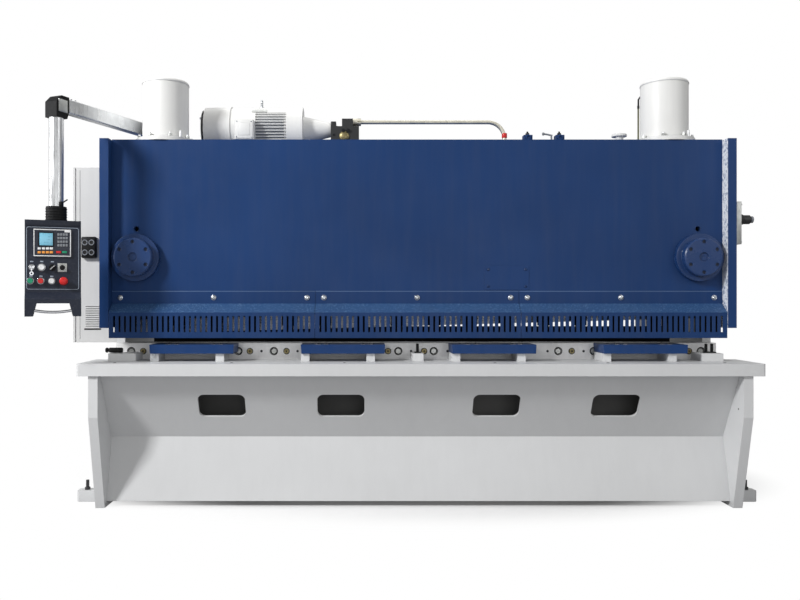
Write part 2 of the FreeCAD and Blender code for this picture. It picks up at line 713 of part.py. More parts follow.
# Guide bosses: a stepped round cover with six counterbored screws and a centre recess
def guide_boss(x):
    flange = forward(BOSS_FLANGE_R, BOSS_FLANGE_DEPTH, x, PLATE_FRONT_Y, BOSS_Z)
    cover = forward(BOSS_DISC_R, BOSS_DEPTH, x, PLATE_FRONT_Y, BOSS_Z)
    boss = joined([flange, cover])
    boss_front_y = PLATE_FRONT_Y - BOSS_DEPTH
    bolt_floor_y = boss_front_y + BOSS_BOLT_DEPTH
    rims = [edge for edge in boss.Edges
            if abs(edge.CenterOfMass.y - boss_front_y) < EDGE_MARGIN and edge.Length > BOSS_DISC_R]
    boss = boss.makeChamfer(BOSS_EDGE, rims)
    for step in range(BOSS_BOLT_COUNT):
        angle = math.radians(BOSS_BOLT_START_DEG + step * 360 / BOSS_BOLT_COUNT)
        hole_x = x + BOSS_BOLT_CIRCLE_R * math.cos(angle)
        hole_z = BOSS_Z + BOSS_BOLT_CIRCLE_R * math.sin(angle)
        boss = boss.cut(forward(BOSS_BOLT_R, BOSS_BOLT_DEPTH + OVERCUT, hole_x, bolt_floor_y, hole_z))
    centre = forward(BOSS_CENTRE_R, BOSS_CENTRE_DEPTH + OVERCUT, x, boss_front_y + BOSS_CENTRE_DEPTH, BOSS_Z)
    return boss.cut(centre)


save("guide_bosses", group([guide_boss(-BOSS_X), guide_boss(BOSS_X)]))


# Finger guards: bent sheets in three lengths, with a row of upright slots
def guard(centre_x):
    flange = PLATE_FRONT_Y - GUARD_SHEET
    face = PLATE_FRONT_Y - GUARD_REACH
    rear_face = face + GUARD_SHEET
    outline = [
        (PLATE_FRONT_Y, GUARD_TOP_Z),
        (PLATE_FRONT_Y, GUARD_BEND_Z - GUARD_SHEET),
        (rear_face, GUARD_KNEE_Z - GUARD_SHEET),
        (rear_face, GUARD_BOTTOM_Z),
        (face, GUARD_BOTTOM_Z),
        (face, GUARD_KNEE_Z),
        (flange, GUARD_BEND_Z),
        (flange, GUARD_TOP_Z),
    ]
    half = GUARD_WIDTH / 2
    sheet = prism_x(outline, centre_x - half, centre_x + half)
    usable = GUARD_WIDTH - 2 * GUARD_END_MARGIN - GUARD_SLOT_WIDTH
    count = int(usable // GUARD_SLOT_PITCH) + 1
    first_x = centre_x - (count - 1) * GUARD_SLOT_PITCH / 2
    slots = []
    slot_top_z = GUARD_KNEE_Z - GUARD_SLOT_DROP
    for index in range(count):
        x = first_x + index * GUARD_SLOT_PITCH
        slots.append(block(x - GUARD_SLOT_WIDTH / 2, x + GUARD_SLOT_WIDTH / 2,
                           face - OVERCUT, rear_face + OVERCUT,
                           slot_top_z - GUARD_SLOT_HEIGHT, slot_top_z))
    return sheet.cut(group(slots))


guard_step = GUARD_WIDTH + GUARD_JOINT
save("guard_left", guard(-guard_step))
save("guard_centre", guard(0))
save("guard_right", guard(guard_step))


# Hold-down beam behind the front plate, its row of cylinders and the end guides
save("hold_down_beam", block(-INNER_HALF, INNER_HALF, PLATE_REAR_Y, HOLD_REAR_Y,
                             PLATE_BOTTOM_Z, PLATE_BOTTOM_Z + HOLD_BEAM_HEIGHT))


def hold_down(x):
    body = upright(HOLD_R, x, HOLD_Y, PLATE_BOTTOM_Z - HOLD_BODY_HEIGHT, PLATE_BOTTOM_Z)
    foot = upright(HOLD_FOOT_R, x, HOLD_Y, HOLD_FOOT_Z, PLATE_BOTTOM_Z)
    return joined([body, foot])


hold_half_span = INNER_HALF - HOLD_END_INSET
hold_count = int(2 * hold_half_span / HOLD_PITCH) + 1
hold_first_x = -(hold_count - 1) * HOLD_PITCH / 2
hold_downs = []
for index in range(hold_count):
    hold_downs.append(hold_down(hold_first_x + index * HOLD_PITCH))
save("hold_down_cylinders", group(hold_downs))
guides = []
for guide_inset in GUIDE_INSETS:
    guide = centred_block(INNER_HALF - guide_inset, HOLD_Y, GUIDE_WIDTH, GUIDE_DEPTH,
                          HOLD_FOOT_Z, PLATE_BOTTOM_Z)
    guides.append(guide)
    guides.append(mirrored(guide))
save("end_guides", group(guides))

# Deck and lift cylinders
deck = block(-INNER_HALF, INNER_HALF, PLATE_REAR_Y, DECK_REAR_Y, DECK_BOTTOM_Z, PLATE_TOP_Z)
for cylinder_x in (-CYLINDER_X, CYLINDER_X):
    deck = deck.cut(upright(CYLINDER_FOOT_R, cylinder_x, CYLINDER_Y,
                            DECK_BOTTOM_Z - OVERCUT, PLATE_TOP_Z + OVERCUT))
save("deck_plate", deck)


def lift_cylinder():
    barrel = upright(CYLINDER_R, CYLINDER_X, CYLINDER_Y, PLATE_TOP_Z, CYLINDER_TOP_Z)
    rims = [edge for edge in barrel.Edges if edge.CenterOfMass.z > CYLINDER_TOP_Z - EDGE_MARGIN]
    barrel = barrel.makeChamfer(CYLINDER_EDGE, rims[:1])
    flange_top_z = PLATE_TOP_Z + CYLINDER_FLANGE_THICK
    flange = upright(CYLINDER_FLANGE_R, CYLINDER_X, CYLINDER_Y, PLATE_TOP_Z, flange_top_z)
    foot = upright(CYLINDER_FOOT_R - CLEAR, CYLINDER_X, CYLINDER_Y, CYLINDER_FOOT_Z, PLATE_TOP_Z)
    body = joined([barrel, flange, foot])
    bore = upright(ROD_R + CLEAR, CYLINDER_X, CYLINDER_Y, CYLINDER_FOOT_Z - OVERCUT, ROD_TOP_Z + MOVING_GAP)
    return body.cut(bore)


cylinder = lift_cylinder()
save("lift_cylinders", group([mirrored(cylinder), cylinder]))


# Blade beam: a raked plate with a head block and a rod at each end
def rake_z(x):
    return RAKE_LOW_Z + RAKE_HEIGHT * (x + RAM_HALF) / (2 * RAM_HALF)


def blade_beam():
    back_outline = [
        (-RAM_HALF, rake_z(-RAM_HALF) + RAM_LEDGE),
        (RAM_HALF, rake_z(RAM_HALF) + RAM_LEDGE),
        (RAM_HALF, RAM_TOP_Z),
        (-RAM_HALF, RAM_TOP_Z),
    ]
    plate = prism_y(back_outline, RAM_FRONT_Y, RAM_REAR_Y)
    pieces = [plate]
    for side in (-1, 1):
        x = side * CYLINDER_X
        pieces.append(block(x - RAM_HEAD_HALF, x + RAM_HEAD_HALF,
                            PLATE_REAR_Y + RAM_PLATE_GAP, RAM_REAR_Y,
                            RAM_TOP_Z, RAM_TOP_Z + RAM_HEAD_HEIGHT))
        pieces.append(upright(ROD_R, x, CYLINDER_Y, RAM_TOP_Z + RAM_HEAD_HEIGHT, ROD_TOP_Z))
    return joined(pieces)


save("blade_beam", blade_beam())
blade_outline = [
    (-RAM_HALF, rake_z(-RAM_HALF)),
    (RAM_HALF, rake_z(RAM_HALF)),
    (RAM_HALF, rake_z(RAM_HALF) + BLADE_HEIGHT),
    (-RAM_HALF, rake_z(-RAM_HALF) + BLADE_HEIGHT),
]
save("upper_blade", prism_y(blade_outline, RAM_FRONT_Y - BLADE_THICK, RAM_FRONT_Y))

# Oil tank under the deck
tank = block(-TANK_HALF, TANK_HALF, TANK_FRONT_Y, TANK_REAR_Y, DECK_BOTTOM_Z - TANK_HEIGHT, DECK_BOTTOM_Z)
tank = tank.makeFillet(TANK_EDGE, edges_along(tank, vec(0, 0, 1), lambda middle: True))
save("oil_tank", tank)

# Rear tie beam and back gauge
save("rear_tie_beam", block(-INNER_HALF, INNER_HALF, REAR_Y - TIE_INSET - TIE_DEPTH, REAR_Y - TIE_INSET,
                            TIE_BOTTOM_Z, TIE_BOTTOM_Z + TIE_HEIGHT))


def back_gauge():
    gauge_bottom_z = BEAM_TOP_Z - GAUGE_DROP
    arm_top_z = gauge_bottom_z - STROKE
    pieces = [block(-GAUGE_HALF, GAUGE_HALF, GAUGE_Y, GAUGE_Y + GAUGE_DEPTH,
                    gauge_bottom_z, gauge_bottom_z + GAUGE_HEIGHT)]
    for side in (-1, 1):
        x = side * (INNER_HALF - GAUGE_ARM_INSET)
        pieces.append(across(GAUGE_ARM_WIDTH, x, BEAM_REAR_Y, BEAM_REAR_Y + GAUGE_ARM_LENGTH,
                             arm_top_z - GAUGE_ARM_HEIGHT, arm_top_z))
        pieces.append(across(GAUGE_ARM_WIDTH, x, GAUGE_Y, GAUGE_Y + GAUGE_DEPTH, arm_top_z, gauge_bottom_z))
    return joined(pieces)


save("back_gauge", back_gauge())


# Motor lying along X: finned body on feet, fan cowl, terminal box and the pump's bell housing
def along_x(radius, x0, x1):
    return disc(radius, x1 - x0, x0, POWER_Y, POWER_Z, vec(1, 0, 0))


def motor_body():
    window_left_x = COWL_RIGHT_X + FIN_WINDOW_INSET
    window_right_x = window_left_x + FIN_WINDOW_LENGTH
    reach = MOTOR_FIN_R + OVERCUT
    window = block(window_left_x, window_right_x, POWER_Y - reach, POWER_Y + reach,
                   POWER_Z - reach, POWER_Z + FIN_WINDOW_RISE)
    casing = along_x(MOTOR_FIN_R, COWL_RIGHT_X, MOTOR_RIGHT_X - MOTOR_FLANGE_THICK).cut(window)
    pieces = [casing, along_x(MOTOR_R, COWL_RIGHT_X, MOTOR_RIGHT_X)]
    fin_count = int(360 / MOTOR_FIN_STEP_DEG)
    for index in range(fin_count):
        angle = index * MOTOR_FIN_STEP_DEG
        if MOTOR_FIN_R * math.sin(math.radians(angle)) > FIN_WINDOW_RISE - MOTOR_FIN_THICK:
            continue
        fin = block(window_left_x, window_right_x,
                    POWER_Y + MOTOR_R - MOTOR_FIN_THICK, POWER_Y + MOTOR_FIN_R,
                    POWER_Z - MOTOR_FIN_THICK / 2, POWER_Z + MOTOR_FIN_THICK / 2)
        fin.rotate(vec(0, POWER_Y, POWER_Z), vec(1, 0, 0), angle)
        pieces.append(fin)
    pieces.append(along_x(MOTOR_FLANGE_R, MOTOR_RIGHT_X - MOTOR_FLANGE_THICK, MOTOR_RIGHT_X))
    for inset in MOTOR_FOOT_INSETS:
        x = COWL_RIGHT_X + inset
        pieces.append(centred_block(x, POWER_Y, MOTOR_FOOT_WIDTH, MOTOR_FOOT_DEPTH, PLATE_TOP_Z, POWER_Z))
    return pieces[0].multiFuse(pieces[1:]).removeSplitter()


save("motor_body", motor_body())
cowl_start = vec(COWL_LEFT_X, POWER_Y, POWER_Z)
cowl_length = COWL_RIGHT_X - COWL_LEFT_X
save("motor_fan_cowl", Part.makeCone(COWL_NARROW_R, COWL_R, cowl_length, cowl_start, vec(1, 0, 0)))
terminal_left_x = COWL_RIGHT_X + TERMINAL_INSET
terminal_bottom_z = POWER_Z - TERMINAL_DROP
terminal = block(terminal_left_x, terminal_left_x + TERMINAL_WIDTH, POWER_Y - TERMINAL_DEPTH, POWER_Y,
                 terminal_bottom_z, terminal_bottom_z + TERMINAL_HEIGHT)
terminal = terminal.cut(along_x(MOTOR_FIN_R + CLEAR, COWL_LEFT_X, BELL_RIGHT_X))
save("motor_terminal_box", max(terminal.Solids, key=lambda solid: solid.Volume))
bell = Part.makeCone(BELL_BIG_R, BELL_SMALL_R, BELL_RIGHT_X - MOTOR_RIGHT_X,
                     vec(MOTOR_RIGHT_X, POWER_Y, POWER_Z), vec(1, 0, 0))
save("pump_bell_housing", bell)


# Valve block with a solenoid on top, and the pressure pipe that runs to the deck
def valve_block():
    front_y = POWER_Y - VALVE_DEPTH / 2
    top_z = PLATE_TOP_Z + VALVE_HEIGHT
    body = block(BELL_RIGHT_X, VALVE_RIGHT_X, front_y, front_y + VALVE_DEPTH, PLATE_TOP_Z, top_z)
    solenoid = block(SOLENOID_X, PIPE_START_X, front_y, front_y + SOLENOID_DEPTH,
                     top_z, top_z + SOLENOID_HEIGHT)
    return joined([body, solenoid])


save("valve_block", valve_block())


def pressure_pipe():
    start = vec(PIPE_START_X, POWER_Y, PIPE_Z)
    bend_start = vec(PIPE_DOWN_X - PIPE_BEND_R, POWER_Y, PIPE_Z)
    bend_end = vec(PIPE_DOWN_X, POWER_Y, PIPE_Z - PIPE_BEND_R)
    quarter = math.cos(math.pi / 4)
    bend_offset = PIPE_BEND_R * (1 - quarter)
    bend_middle = vec(PIPE_DOWN_X - bend_offset, POWER_Y, PIPE_Z - bend_offset)
    finish = vec(PIPE_DOWN_X, POWER_Y, PLATE_TOP_Z)
    path = Part.Wire([
        Part.LineSegment(start, bend_start).toShape(),
        Part.Arc(bend_start, bend_middle, bend_end).toShape(),
        Part.LineSegment(bend_end, finish).toShape(),
    ])
    ring = Part.Wire([Part.Circle(start, vec(1, 0, 0), PIPE_R).toShape()])
    pipe = path.makePipeShell([ring], True, False)
    nut = disc(PIPE_NUT_R, PIPE_NUT_LENGTH, PIPE_START_X, POWER_Y, PIPE_Z, vec(1, 0, 0))
    collar = upright(PIPE_COLLAR_R, PIPE_DOWN_X, POWER_Y, PLATE_TOP_Z, PLATE_TOP_Z + PIPE_COLLAR_HEIGHT)
    return joined([pipe, nut, collar])


save("pressure_pipe", pressure_pipe())

# Small fittings on the deck: two blocks and the filler cap on its neck
deck_blocks = []
for inset in DECK_BLOCK_INSETS:
    deck_blocks.append(centred_block(INNER_HALF - inset, PLATE_FRONT_Y + DECK_BLOCK_SETBACK,
                                     DECK_BLOCK_WIDTH, DECK_BLOCK_WIDTH,
                                     PLATE_TOP_Z, PLATE_TOP_Z + DECK_BLOCK_HEIGHT))
save("deck_blocks", group(deck_blocks))
neck_top_z = PLATE_TOP_Z + CAP_NECK_HEIGHT
cap_x = INNER_HALF - CAP_INSET
cap_y = PLATE_FRONT_Y + CAP_SETBACK
save("filler_cap", joined([
    upright(CAP_NECK_R, cap_x, cap_y, PLATE_TOP_Z, neck_top_z),
    upright(CAP_R, cap_x, cap_y, neck_top_z, neck_top_z + CAP_HEIGHT),
]))


# Side valve on the right side frame
def side_valve():
    half = SIDE_PLATE_DEPTH / 2
    face = OUTER_HALF + SIDE_PLATE_THICK
    core = face + SIDE_BODY_LENGTH
    low_z = HEAD_BOTTOM_Z + SIDE_VALVE_RISE
    core_z = low_z + SIDE_CORE_RISE
    axis = vec(1, 0, 0)
    pieces = [
        block(OUTER_HALF, face, SIDE_VALVE_Y - half, SIDE_VALVE_Y + half, low_z, low_z + SIDE_PLATE_HEIGHT),
        disc(SIDE_BODY_R, SIDE_BODY_LENGTH, face, SIDE_VALVE_Y, core_z, axis),
        disc(SIDE_CORE_R, SIDE_CORE_LENGTH, core, SIDE_VALVE_Y, core_z, axis),
        disc(SIDE_TIP_R, SIDE_TIP_LENGTH, core + SIDE_CORE_LENGTH, SIDE_VALVE_Y, core_z, axis),
    ]
    return joined(pieces)


save("side_valve", side_valve())

# Electrical cabinet: an open box on the left side frame, its door on two pin hinges
cabinet_right_x = -OUTER_HALF
cabinet_left_x = cabinet_right_x - CABINET_WIDTH
cabinet_front_y = THROAT_BACK_Y
cabinet_rear_y = cabinet_front_y + CABINET_DEPTH
cabinet_bottom_z = HEAD_BOTTOM_Z - CABINET_DROP
cabinet_top_z = cabinet_bottom_z + CABINET_HEIGHT
door_inner_x = cabinet_left_x - DOOR_GAP
door_outer_x = door_inner_x - DOOR_THICK
hinge_x = (door_inner_x + door_outer_x) / 2
hinge_y = cabinet_rear_y + HINGE_BACK
knuckle_levels = [cabinet_bottom_z + HINGE_INSET, cabinet_top_z - HINGE_INSET]


def cabinet_body():
    shell = block(cabinet_left_x, cabinet_right_x, cabinet_front_y, cabinet_rear_y,
                  cabinet_bottom_z, cabinet_top_z)
    hollow = block(cabinet_left_x + CABINET_WALL, cabinet_right_x - CABINET_WALL,
                   cabinet_front_y + CABINET_WALL, cabinet_rear_y - CABINET_WALL,
                   cabinet_bottom_z + CABINET_WALL, cabinet_top_z - CABINET_WALL)
    mouth = block(cabinet_left_x - OVERCUT, cabinet_left_x + CABINET_WALL + OVERCUT,
                  cabinet_front_y + CABINET_LIP, cabinet_rear_y - CABINET_LIP,
                  cabinet_bottom_z + CABINET_LIP, cabinet_top_z - CABINET_LIP)
    pieces = [shell.cut(hollow).cut(mouth)]
    leaf_x = cabinet_left_x + CABINET_WALL
    leaf_rear_y = hinge_y + HINGE_BACK / 2
    leaf_front_y = hinge_y - HINGE_BACK / 2
    for level in knuckle_levels:
        knuckle_low = level - HINGE_KNUCKLE_HEIGHT / 2
        knuckle_high = level + HINGE_KNUCKLE_HEIGHT / 2
        leaf_lows = [knuckle_low - HINGE_LEAF_GAP - HINGE_LEAF_HEIGHT, knuckle_high + HINGE_LEAF_GAP]
        for low in leaf_lows:
            high = low + HINGE_LEAF_HEIGHT
            pieces.append(block(hinge_x, leaf_x, leaf_front_y, leaf_rear_y, low, high))
            pieces.append(block(leaf_x, leaf_x + HINGE_LEAF_WIDTH, cabinet_rear_y, leaf_rear_y, low, high))
        pin_top_z = leaf_lows[1] + HINGE_LEAF_HEIGHT
        pieces.append(upright(HINGE_PIN_R, hinge_x, hinge_y, leaf_lows[0], pin_top_z))
    return joined(pieces)


def cabinet_door():
    panel = block(door_outer_x, door_inner_x, cabinet_front_y, cabinet_rear_y - DOOR_REAR_INSET,
                  cabinet_bottom_z, cabinet_top_z)
    pieces = [panel]
    bores = []
    for level in knuckle_levels:
        low = level - HINGE_KNUCKLE_HEIGHT / 2
        high = level + HINGE_KNUCKLE_HEIGHT / 2
        pieces.append(block(door_outer_x, door_inner_x, cabinet_rear_y - DOOR_REAR_INSET, hinge_y,
                            low, high))
        pieces.append(upright(HINGE_KNUCKLE_R, hinge_x, hinge_y, low, high))
        bores.append(upright(HINGE_PIN_R + CLEAR, hinge_x, hinge_y, low - OVERCUT, high + OVERCUT))
    return joined(pieces).cut(group(bores))


save("cabinet_body", cabinet_body())
save("cabinet_door", cabinet_door())
socket_left_x = cabinet_left_x + SOCKET_INSET
socket_top_z = cabinet_top_z - SOCKET_DROP
save("socket_box", block(socket_left_x, socket_left_x + SOCKET_WIDTH, cabinet_front_y - SOCKET_DEPTH,
                         cabinet_front_y, socket_top_z - SOCKET_HEIGHT, socket_top_z))

# Pendant arm: it turns on a post behind the left cylinder and carries the drop tube
arm_angle = math.radians(ARM_ANGLE_DEG)
back_x = math.sin(arm_angle)
back_y = math.cos(arm_angle)
pivot_x = POST_INSET - INNER_HALF
pivot_y = PLATE_FRONT_Y + POST_Y_SETBACK
TUBE_X = pivot_x - ARM_LENGTH * back_x
PENDANT_Y = pivot_y - ARM_LENGTH * back_y
turn_to_arm = FreeCAD.Placement(vec(TUBE_X, PENDANT_Y, 0), FreeCAD.Rotation(vec(0, 0, 1), -ARM_ANGLE_DEG))


def on_arm(shape):
    """Turns a shape drawn along +Y from the drop tube's axis to the arm's direction."""
    placed = shape.copy()
    placed.Placement = turn_to_arm.multiply(placed.Placement)
    return placed


def arm_post():
    pin_top = ELBOW_BOTTOM_Z + POST_PIN_RISE
    return joined([
        upright(POST_FLANGE_R, pivot_x, pivot_y, PLATE_TOP_Z, PLATE_TOP_Z + POST_FLANGE_THICK),
        upright(POST_R, pivot_x, pivot_y, PLATE_TOP_Z, ELBOW_BOTTOM_Z - POST_RUN_GAP),
        upright(POST_PIN_R, pivot_x, pivot_y, ELBOW_BOTTOM_Z - POST_RUN_GAP, pin_top),
    ])


def front_elbow():
    outline = [
        (-ELBOW_FRONT, ELBOW_BOTTOM_Z),
        (-ELBOW_FRONT, ELBOW_TOP_Z - ELBOW_SLOPE),
        (-ELBOW_FRONT + ELBOW_SLOPE, ELBOW_TOP_Z),
        (ELBOW_BACK, ELBOW_TOP_Z),
        (ELBOW_BACK, ARM_BOTTOM_Z),
        (ELBOW_FRONT, ELBOW_BOTTOM_Z),
    ]
    return on_arm(prism_x(outline, -ELBOW_HALF_WIDTH, ELBOW_HALF_WIDTH))


def pivot_elbow():
    barrel = upright(PIVOT_R, pivot_x, pivot_y, ELBOW_BOTTOM_Z, ELBOW_TOP_Z)
    return barrel.cut(upright(POST_PIN_R + CLEAR, pivot_x, pivot_y, ELBOW_BOTTOM_Z - OVERCUT,
                              ELBOW_BOTTOM_Z + POST_PIN_RISE + MOVING_GAP))


def support_arm():
    bar = block(-ARM_WIDTH / 2, ARM_WIDTH / 2, ELBOW_BACK, ARM_LENGTH,
                ARM_BOTTOM_Z, ARM_BOTTOM_Z + ARM_HEIGHT)
    bar = bar.makeFillet(ARM_EDGE, edges_along(bar, vec(0, 1, 0), lambda middle: True))
    barrel = upright(PIVOT_R, pivot_x, pivot_y, ELBOW_BOTTOM_Z - OVERCUT, ELBOW_TOP_Z + OVERCUT)
    bar = on_arm(bar).cut(barrel)
    tube = upright(DROP_TUBE_R, TUBE_X, PENDANT_Y, BOX_TOP_Z + MOVING_GAP, ELBOW_BOTTOM_Z)
    return group([bar, tube])


save("arm_post", arm_post())
save("arm_elbows", group([front_elbow(), pivot_elbow()]))
save("support_arm", support_arm())


# Pendant box: a deep lower part with a grip opening, a collar, display, handle and buttons
box_centre_x = TUBE_X - BOX_OFFSET
box_left_x = box_centre_x - BOX_WIDTH / 2
box_right_x = box_centre_x + BOX_WIDTH / 2
box_front_y = PENDANT_Y - BOX_DEPTH / 2
box_rear_y = PENDANT_Y + BOX_DEPTH / 2
lower_box_z = BOX_BOTTOM_Z + BOX_LOWER_HEIGHT


def turned(shape):
    """Turns a shape drawn facing -Y about the drop tube's axis, so that the box faces the operator."""
    placed = shape.copy()
    placed.rotate(vec(TUBE_X, PENDANT_Y, 0), vec(0, 0, 1), PENDANT_TURN_DEG)
    return placed


def grip_notch():
    foot_half = GRIP_FOOT_WIDTH / 2
    top_half = GRIP_TOP_WIDTH / 2
    return prism_y([
        (box_centre_x - foot_half, BOX_BOTTOM_Z),
        (box_centre_x + foot_half, BOX_BOTTOM_Z),
        (box_centre_x + top_half, GRIP_TOP_Z),
        (box_centre_x - top_half, GRIP_TOP_Z),
    ], box_front_y - BOX_LOWER_STEP, box_rear_y)


def pendant_box():
    square_y = box_front_y + BOX_SQUARE_DEPTH
    body = prism_z([
        (box_left_x, box_front_y),
        (box_right_x, box_front_y),
        (box_right_x, square_y),
        (box_right_x - BOX_REAR_INSET, box_rear_y),
        (box_left_x + BOX_REAR_INSET, box_rear_y),
        (box_left_x, square_y),
    ], BOX_BOTTOM_Z, BOX_TOP_Z)
    lower = prism_x([
        (box_front_y, lower_box_z + BOX_LOWER_STEP),
        (box_front_y - BOX_LOWER_STEP, lower_box_z),
        (box_front_y - BOX_LOWER_STEP, BOX_BOTTOM_Z),
        (box_front_y, BOX_BOTTOM_Z),
    ], box_left_x, box_right_x)
    return joined([body, lower]).cut(grip_notch())


save("pendant_box", turned(pendant_box()))
collar_top_z = BOX_TOP_Z + COLLAR_HEIGHT
collar = upright(COLLAR_R, TUBE_X, PENDANT_Y, BOX_TOP_Z, collar_top_z)
collar = collar.cut(upright(DROP_TUBE_R + CLEAR, TUBE_X, PENDANT_Y,
                            BOX_TOP_Z - OVERCUT, collar_top_z + OVERCUT))
save("pendant_collar", collar)


def pendant_handle():
    handle_y = box_front_y - BOX_LOWER_STEP / 2
    low_z = BOX_BOTTOM_Z + HANDLE_RISE
    high_z = low_z + HANDLE_BOW
    left = vec(box_centre_x - GRIP_FOOT_WIDTH / 2, handle_y, high_z)
    right = vec(box_centre_x + GRIP_FOOT_WIDTH / 2, handle_y, high_z)
    bow = Part.Arc(left, vec(box_centre_x, handle_y, low_z), right)
    start = bow.tangent(bow.FirstParameter)[0]
    ring = Part.Wire([Part.Circle(left, start, HANDLE_R).toShape()])
    bar = Part.Wire([bow.toShape()]).makePipeShell([ring], True, False)
    return bar.common(grip_notch())


save("pendant_handle", turned(pendant_handle()))
display_left_x = box_left_x + DISPLAY_INSET
display_top_z = BOX_TOP_Z - DISPLAY_DROP
display = block(display_left_x, display_left_x + DISPLAY_WIDTH,
                box_front_y - DISPLAY_DEPTH, box_front_y,
                display_top_z - DISPLAY_HEIGHT, display_top_z)
save("display_unit", turned(display))
buttons = []
for inset in UPPER_ROW_INSETS:
    buttons.append(forward(SMALL_BUTTON_R, BUTTON_DEPTH, box_left_x + inset, box_front_y, UPPER_ROW_Z))
for inset in LOWER_ROW_INSETS:
    buttons.append(forward(SMALL_BUTTON_R, BUTTON_DEPTH, box_left_x + inset, box_front_y, LOWER_ROW_Z))
stop_x = box_left_x + STOP_BUTTON_INSET
buttons.append(forward(STOP_BUTTON_R, STOP_BUTTON_DEPTH, stop_x, box_front_y, LOWER_ROW_Z))
buttons.append(across(DIAL_SIZE, box_left_x + DIAL_INSET, box_front_y - DISPLAY_DEPTH, box_front_y,
                      UPPER_ROW_Z - DIAL_SIZE / 2, UPPER_ROW_Z + DIAL_SIZE / 2))
save("control_buttons", turned(group(buttons)))
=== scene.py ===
import math
import bmesh
import bpy
from mathutils import Matrix, Vector


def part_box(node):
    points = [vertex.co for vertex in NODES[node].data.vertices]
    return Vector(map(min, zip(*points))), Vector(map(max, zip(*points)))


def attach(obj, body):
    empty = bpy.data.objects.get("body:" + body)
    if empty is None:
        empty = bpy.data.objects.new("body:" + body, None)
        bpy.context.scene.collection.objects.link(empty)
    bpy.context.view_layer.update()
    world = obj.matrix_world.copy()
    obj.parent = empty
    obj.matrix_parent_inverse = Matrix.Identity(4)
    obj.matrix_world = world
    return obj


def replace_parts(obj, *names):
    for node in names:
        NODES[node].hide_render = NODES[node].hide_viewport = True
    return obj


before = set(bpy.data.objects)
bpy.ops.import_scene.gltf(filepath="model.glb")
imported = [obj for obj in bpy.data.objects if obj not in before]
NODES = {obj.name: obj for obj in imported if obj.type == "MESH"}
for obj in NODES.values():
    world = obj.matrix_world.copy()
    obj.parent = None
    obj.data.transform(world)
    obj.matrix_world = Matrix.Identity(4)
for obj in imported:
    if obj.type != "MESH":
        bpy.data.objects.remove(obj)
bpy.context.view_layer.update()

RIGHT = Vector((1, 0, 0))
LEFT = Vector((-1, 0, 0))
BACK = Vector((0, 1, 0))
FRONT = Vector((0, -1, 0))
UP = Vector((0, 0, 1))
DOWN = Vector((0, 0, -1))

# The camera stands 5 m in front of the origin and looks straight back
CAMERA_AT = Vector((-0.344, -5.0, 1.119))
LENS_MM = 35.325
SENSOR_MM = 36.0
SHIFT_X = 0.05625
VIEW_CENTRE_PX = (355.0, 300.0)
PIXELS_PER_UNIT = 785.0


def seen(px, py, y):
    """The point at depth y that the 800 by 600 picture shows at (px, py)."""
    unit = (y - CAMERA_AT.y) / PIXELS_PER_UNIT
    x = CAMERA_AT.x + (px - VIEW_CENTRE_PX[0]) * unit
    return Vector((x, y, CAMERA_AT.z - (py - VIEW_CENTRE_PX[1]) * unit))


def add_camera():
    data = bpy.data.cameras.new("camera")
    data.lens = LENS_MM
    data.sensor_width = SENSOR_MM
    data.shift_x = SHIFT_X
    data.clip_end = 60.0
    camera = bpy.data.objects.new("camera", data)
    camera.location = CAMERA_AT
    camera.rotation_euler = (math.radians(90), 0, 0)
    bpy.context.scene.collection.objects.link(camera)
    bpy.context.scene.camera = camera


def srgb(r, g, b):
    """Linear colour of 0 to 255 screen values."""
    unit = [v / 255.0 for v in (r, g, b)]
    return tuple(c / 12.92 if c <= 0.04045 else ((c + 0.055) / 1.055) ** 2.4 for c in unit) + (1.0,)


def scaled(colour, factor, lift=0.0):
    """A colour times a factor plus a lift, no brighter than white."""
    return tuple(min(1.0, c * factor + lift) for c in colour[:3]) + (1.0,)


# Materials
MIX_FACTOR, MIX_A, MIX_B, MIX_RESULT = 0, 6, 7, 2


class Tree:
    """Adds nodes to a tree. A value is a number, a colour or a (node, output) pair."""

    def __init__(self, tree):
        self.tree = tree
        self.tree.nodes.clear()

    def feed(self, value, node, socket):
        """Links a pair to an input, or sets the input to a fixed value."""
        if isinstance(value, tuple) and isinstance(value[0], bpy.types.Node):
            self.tree.links.new(value[0].outputs[value[1]], node.inputs[socket])
        else:
            node.inputs[socket].default_value = value

    def add(self, kind, inputs=None, **settings):
        node = self.tree.nodes.new(kind)
        for key, value in settings.items():
            setattr(node, key, value)
        for socket, value in (inputs or {}).items():
            self.feed(value, node, socket)
        return node


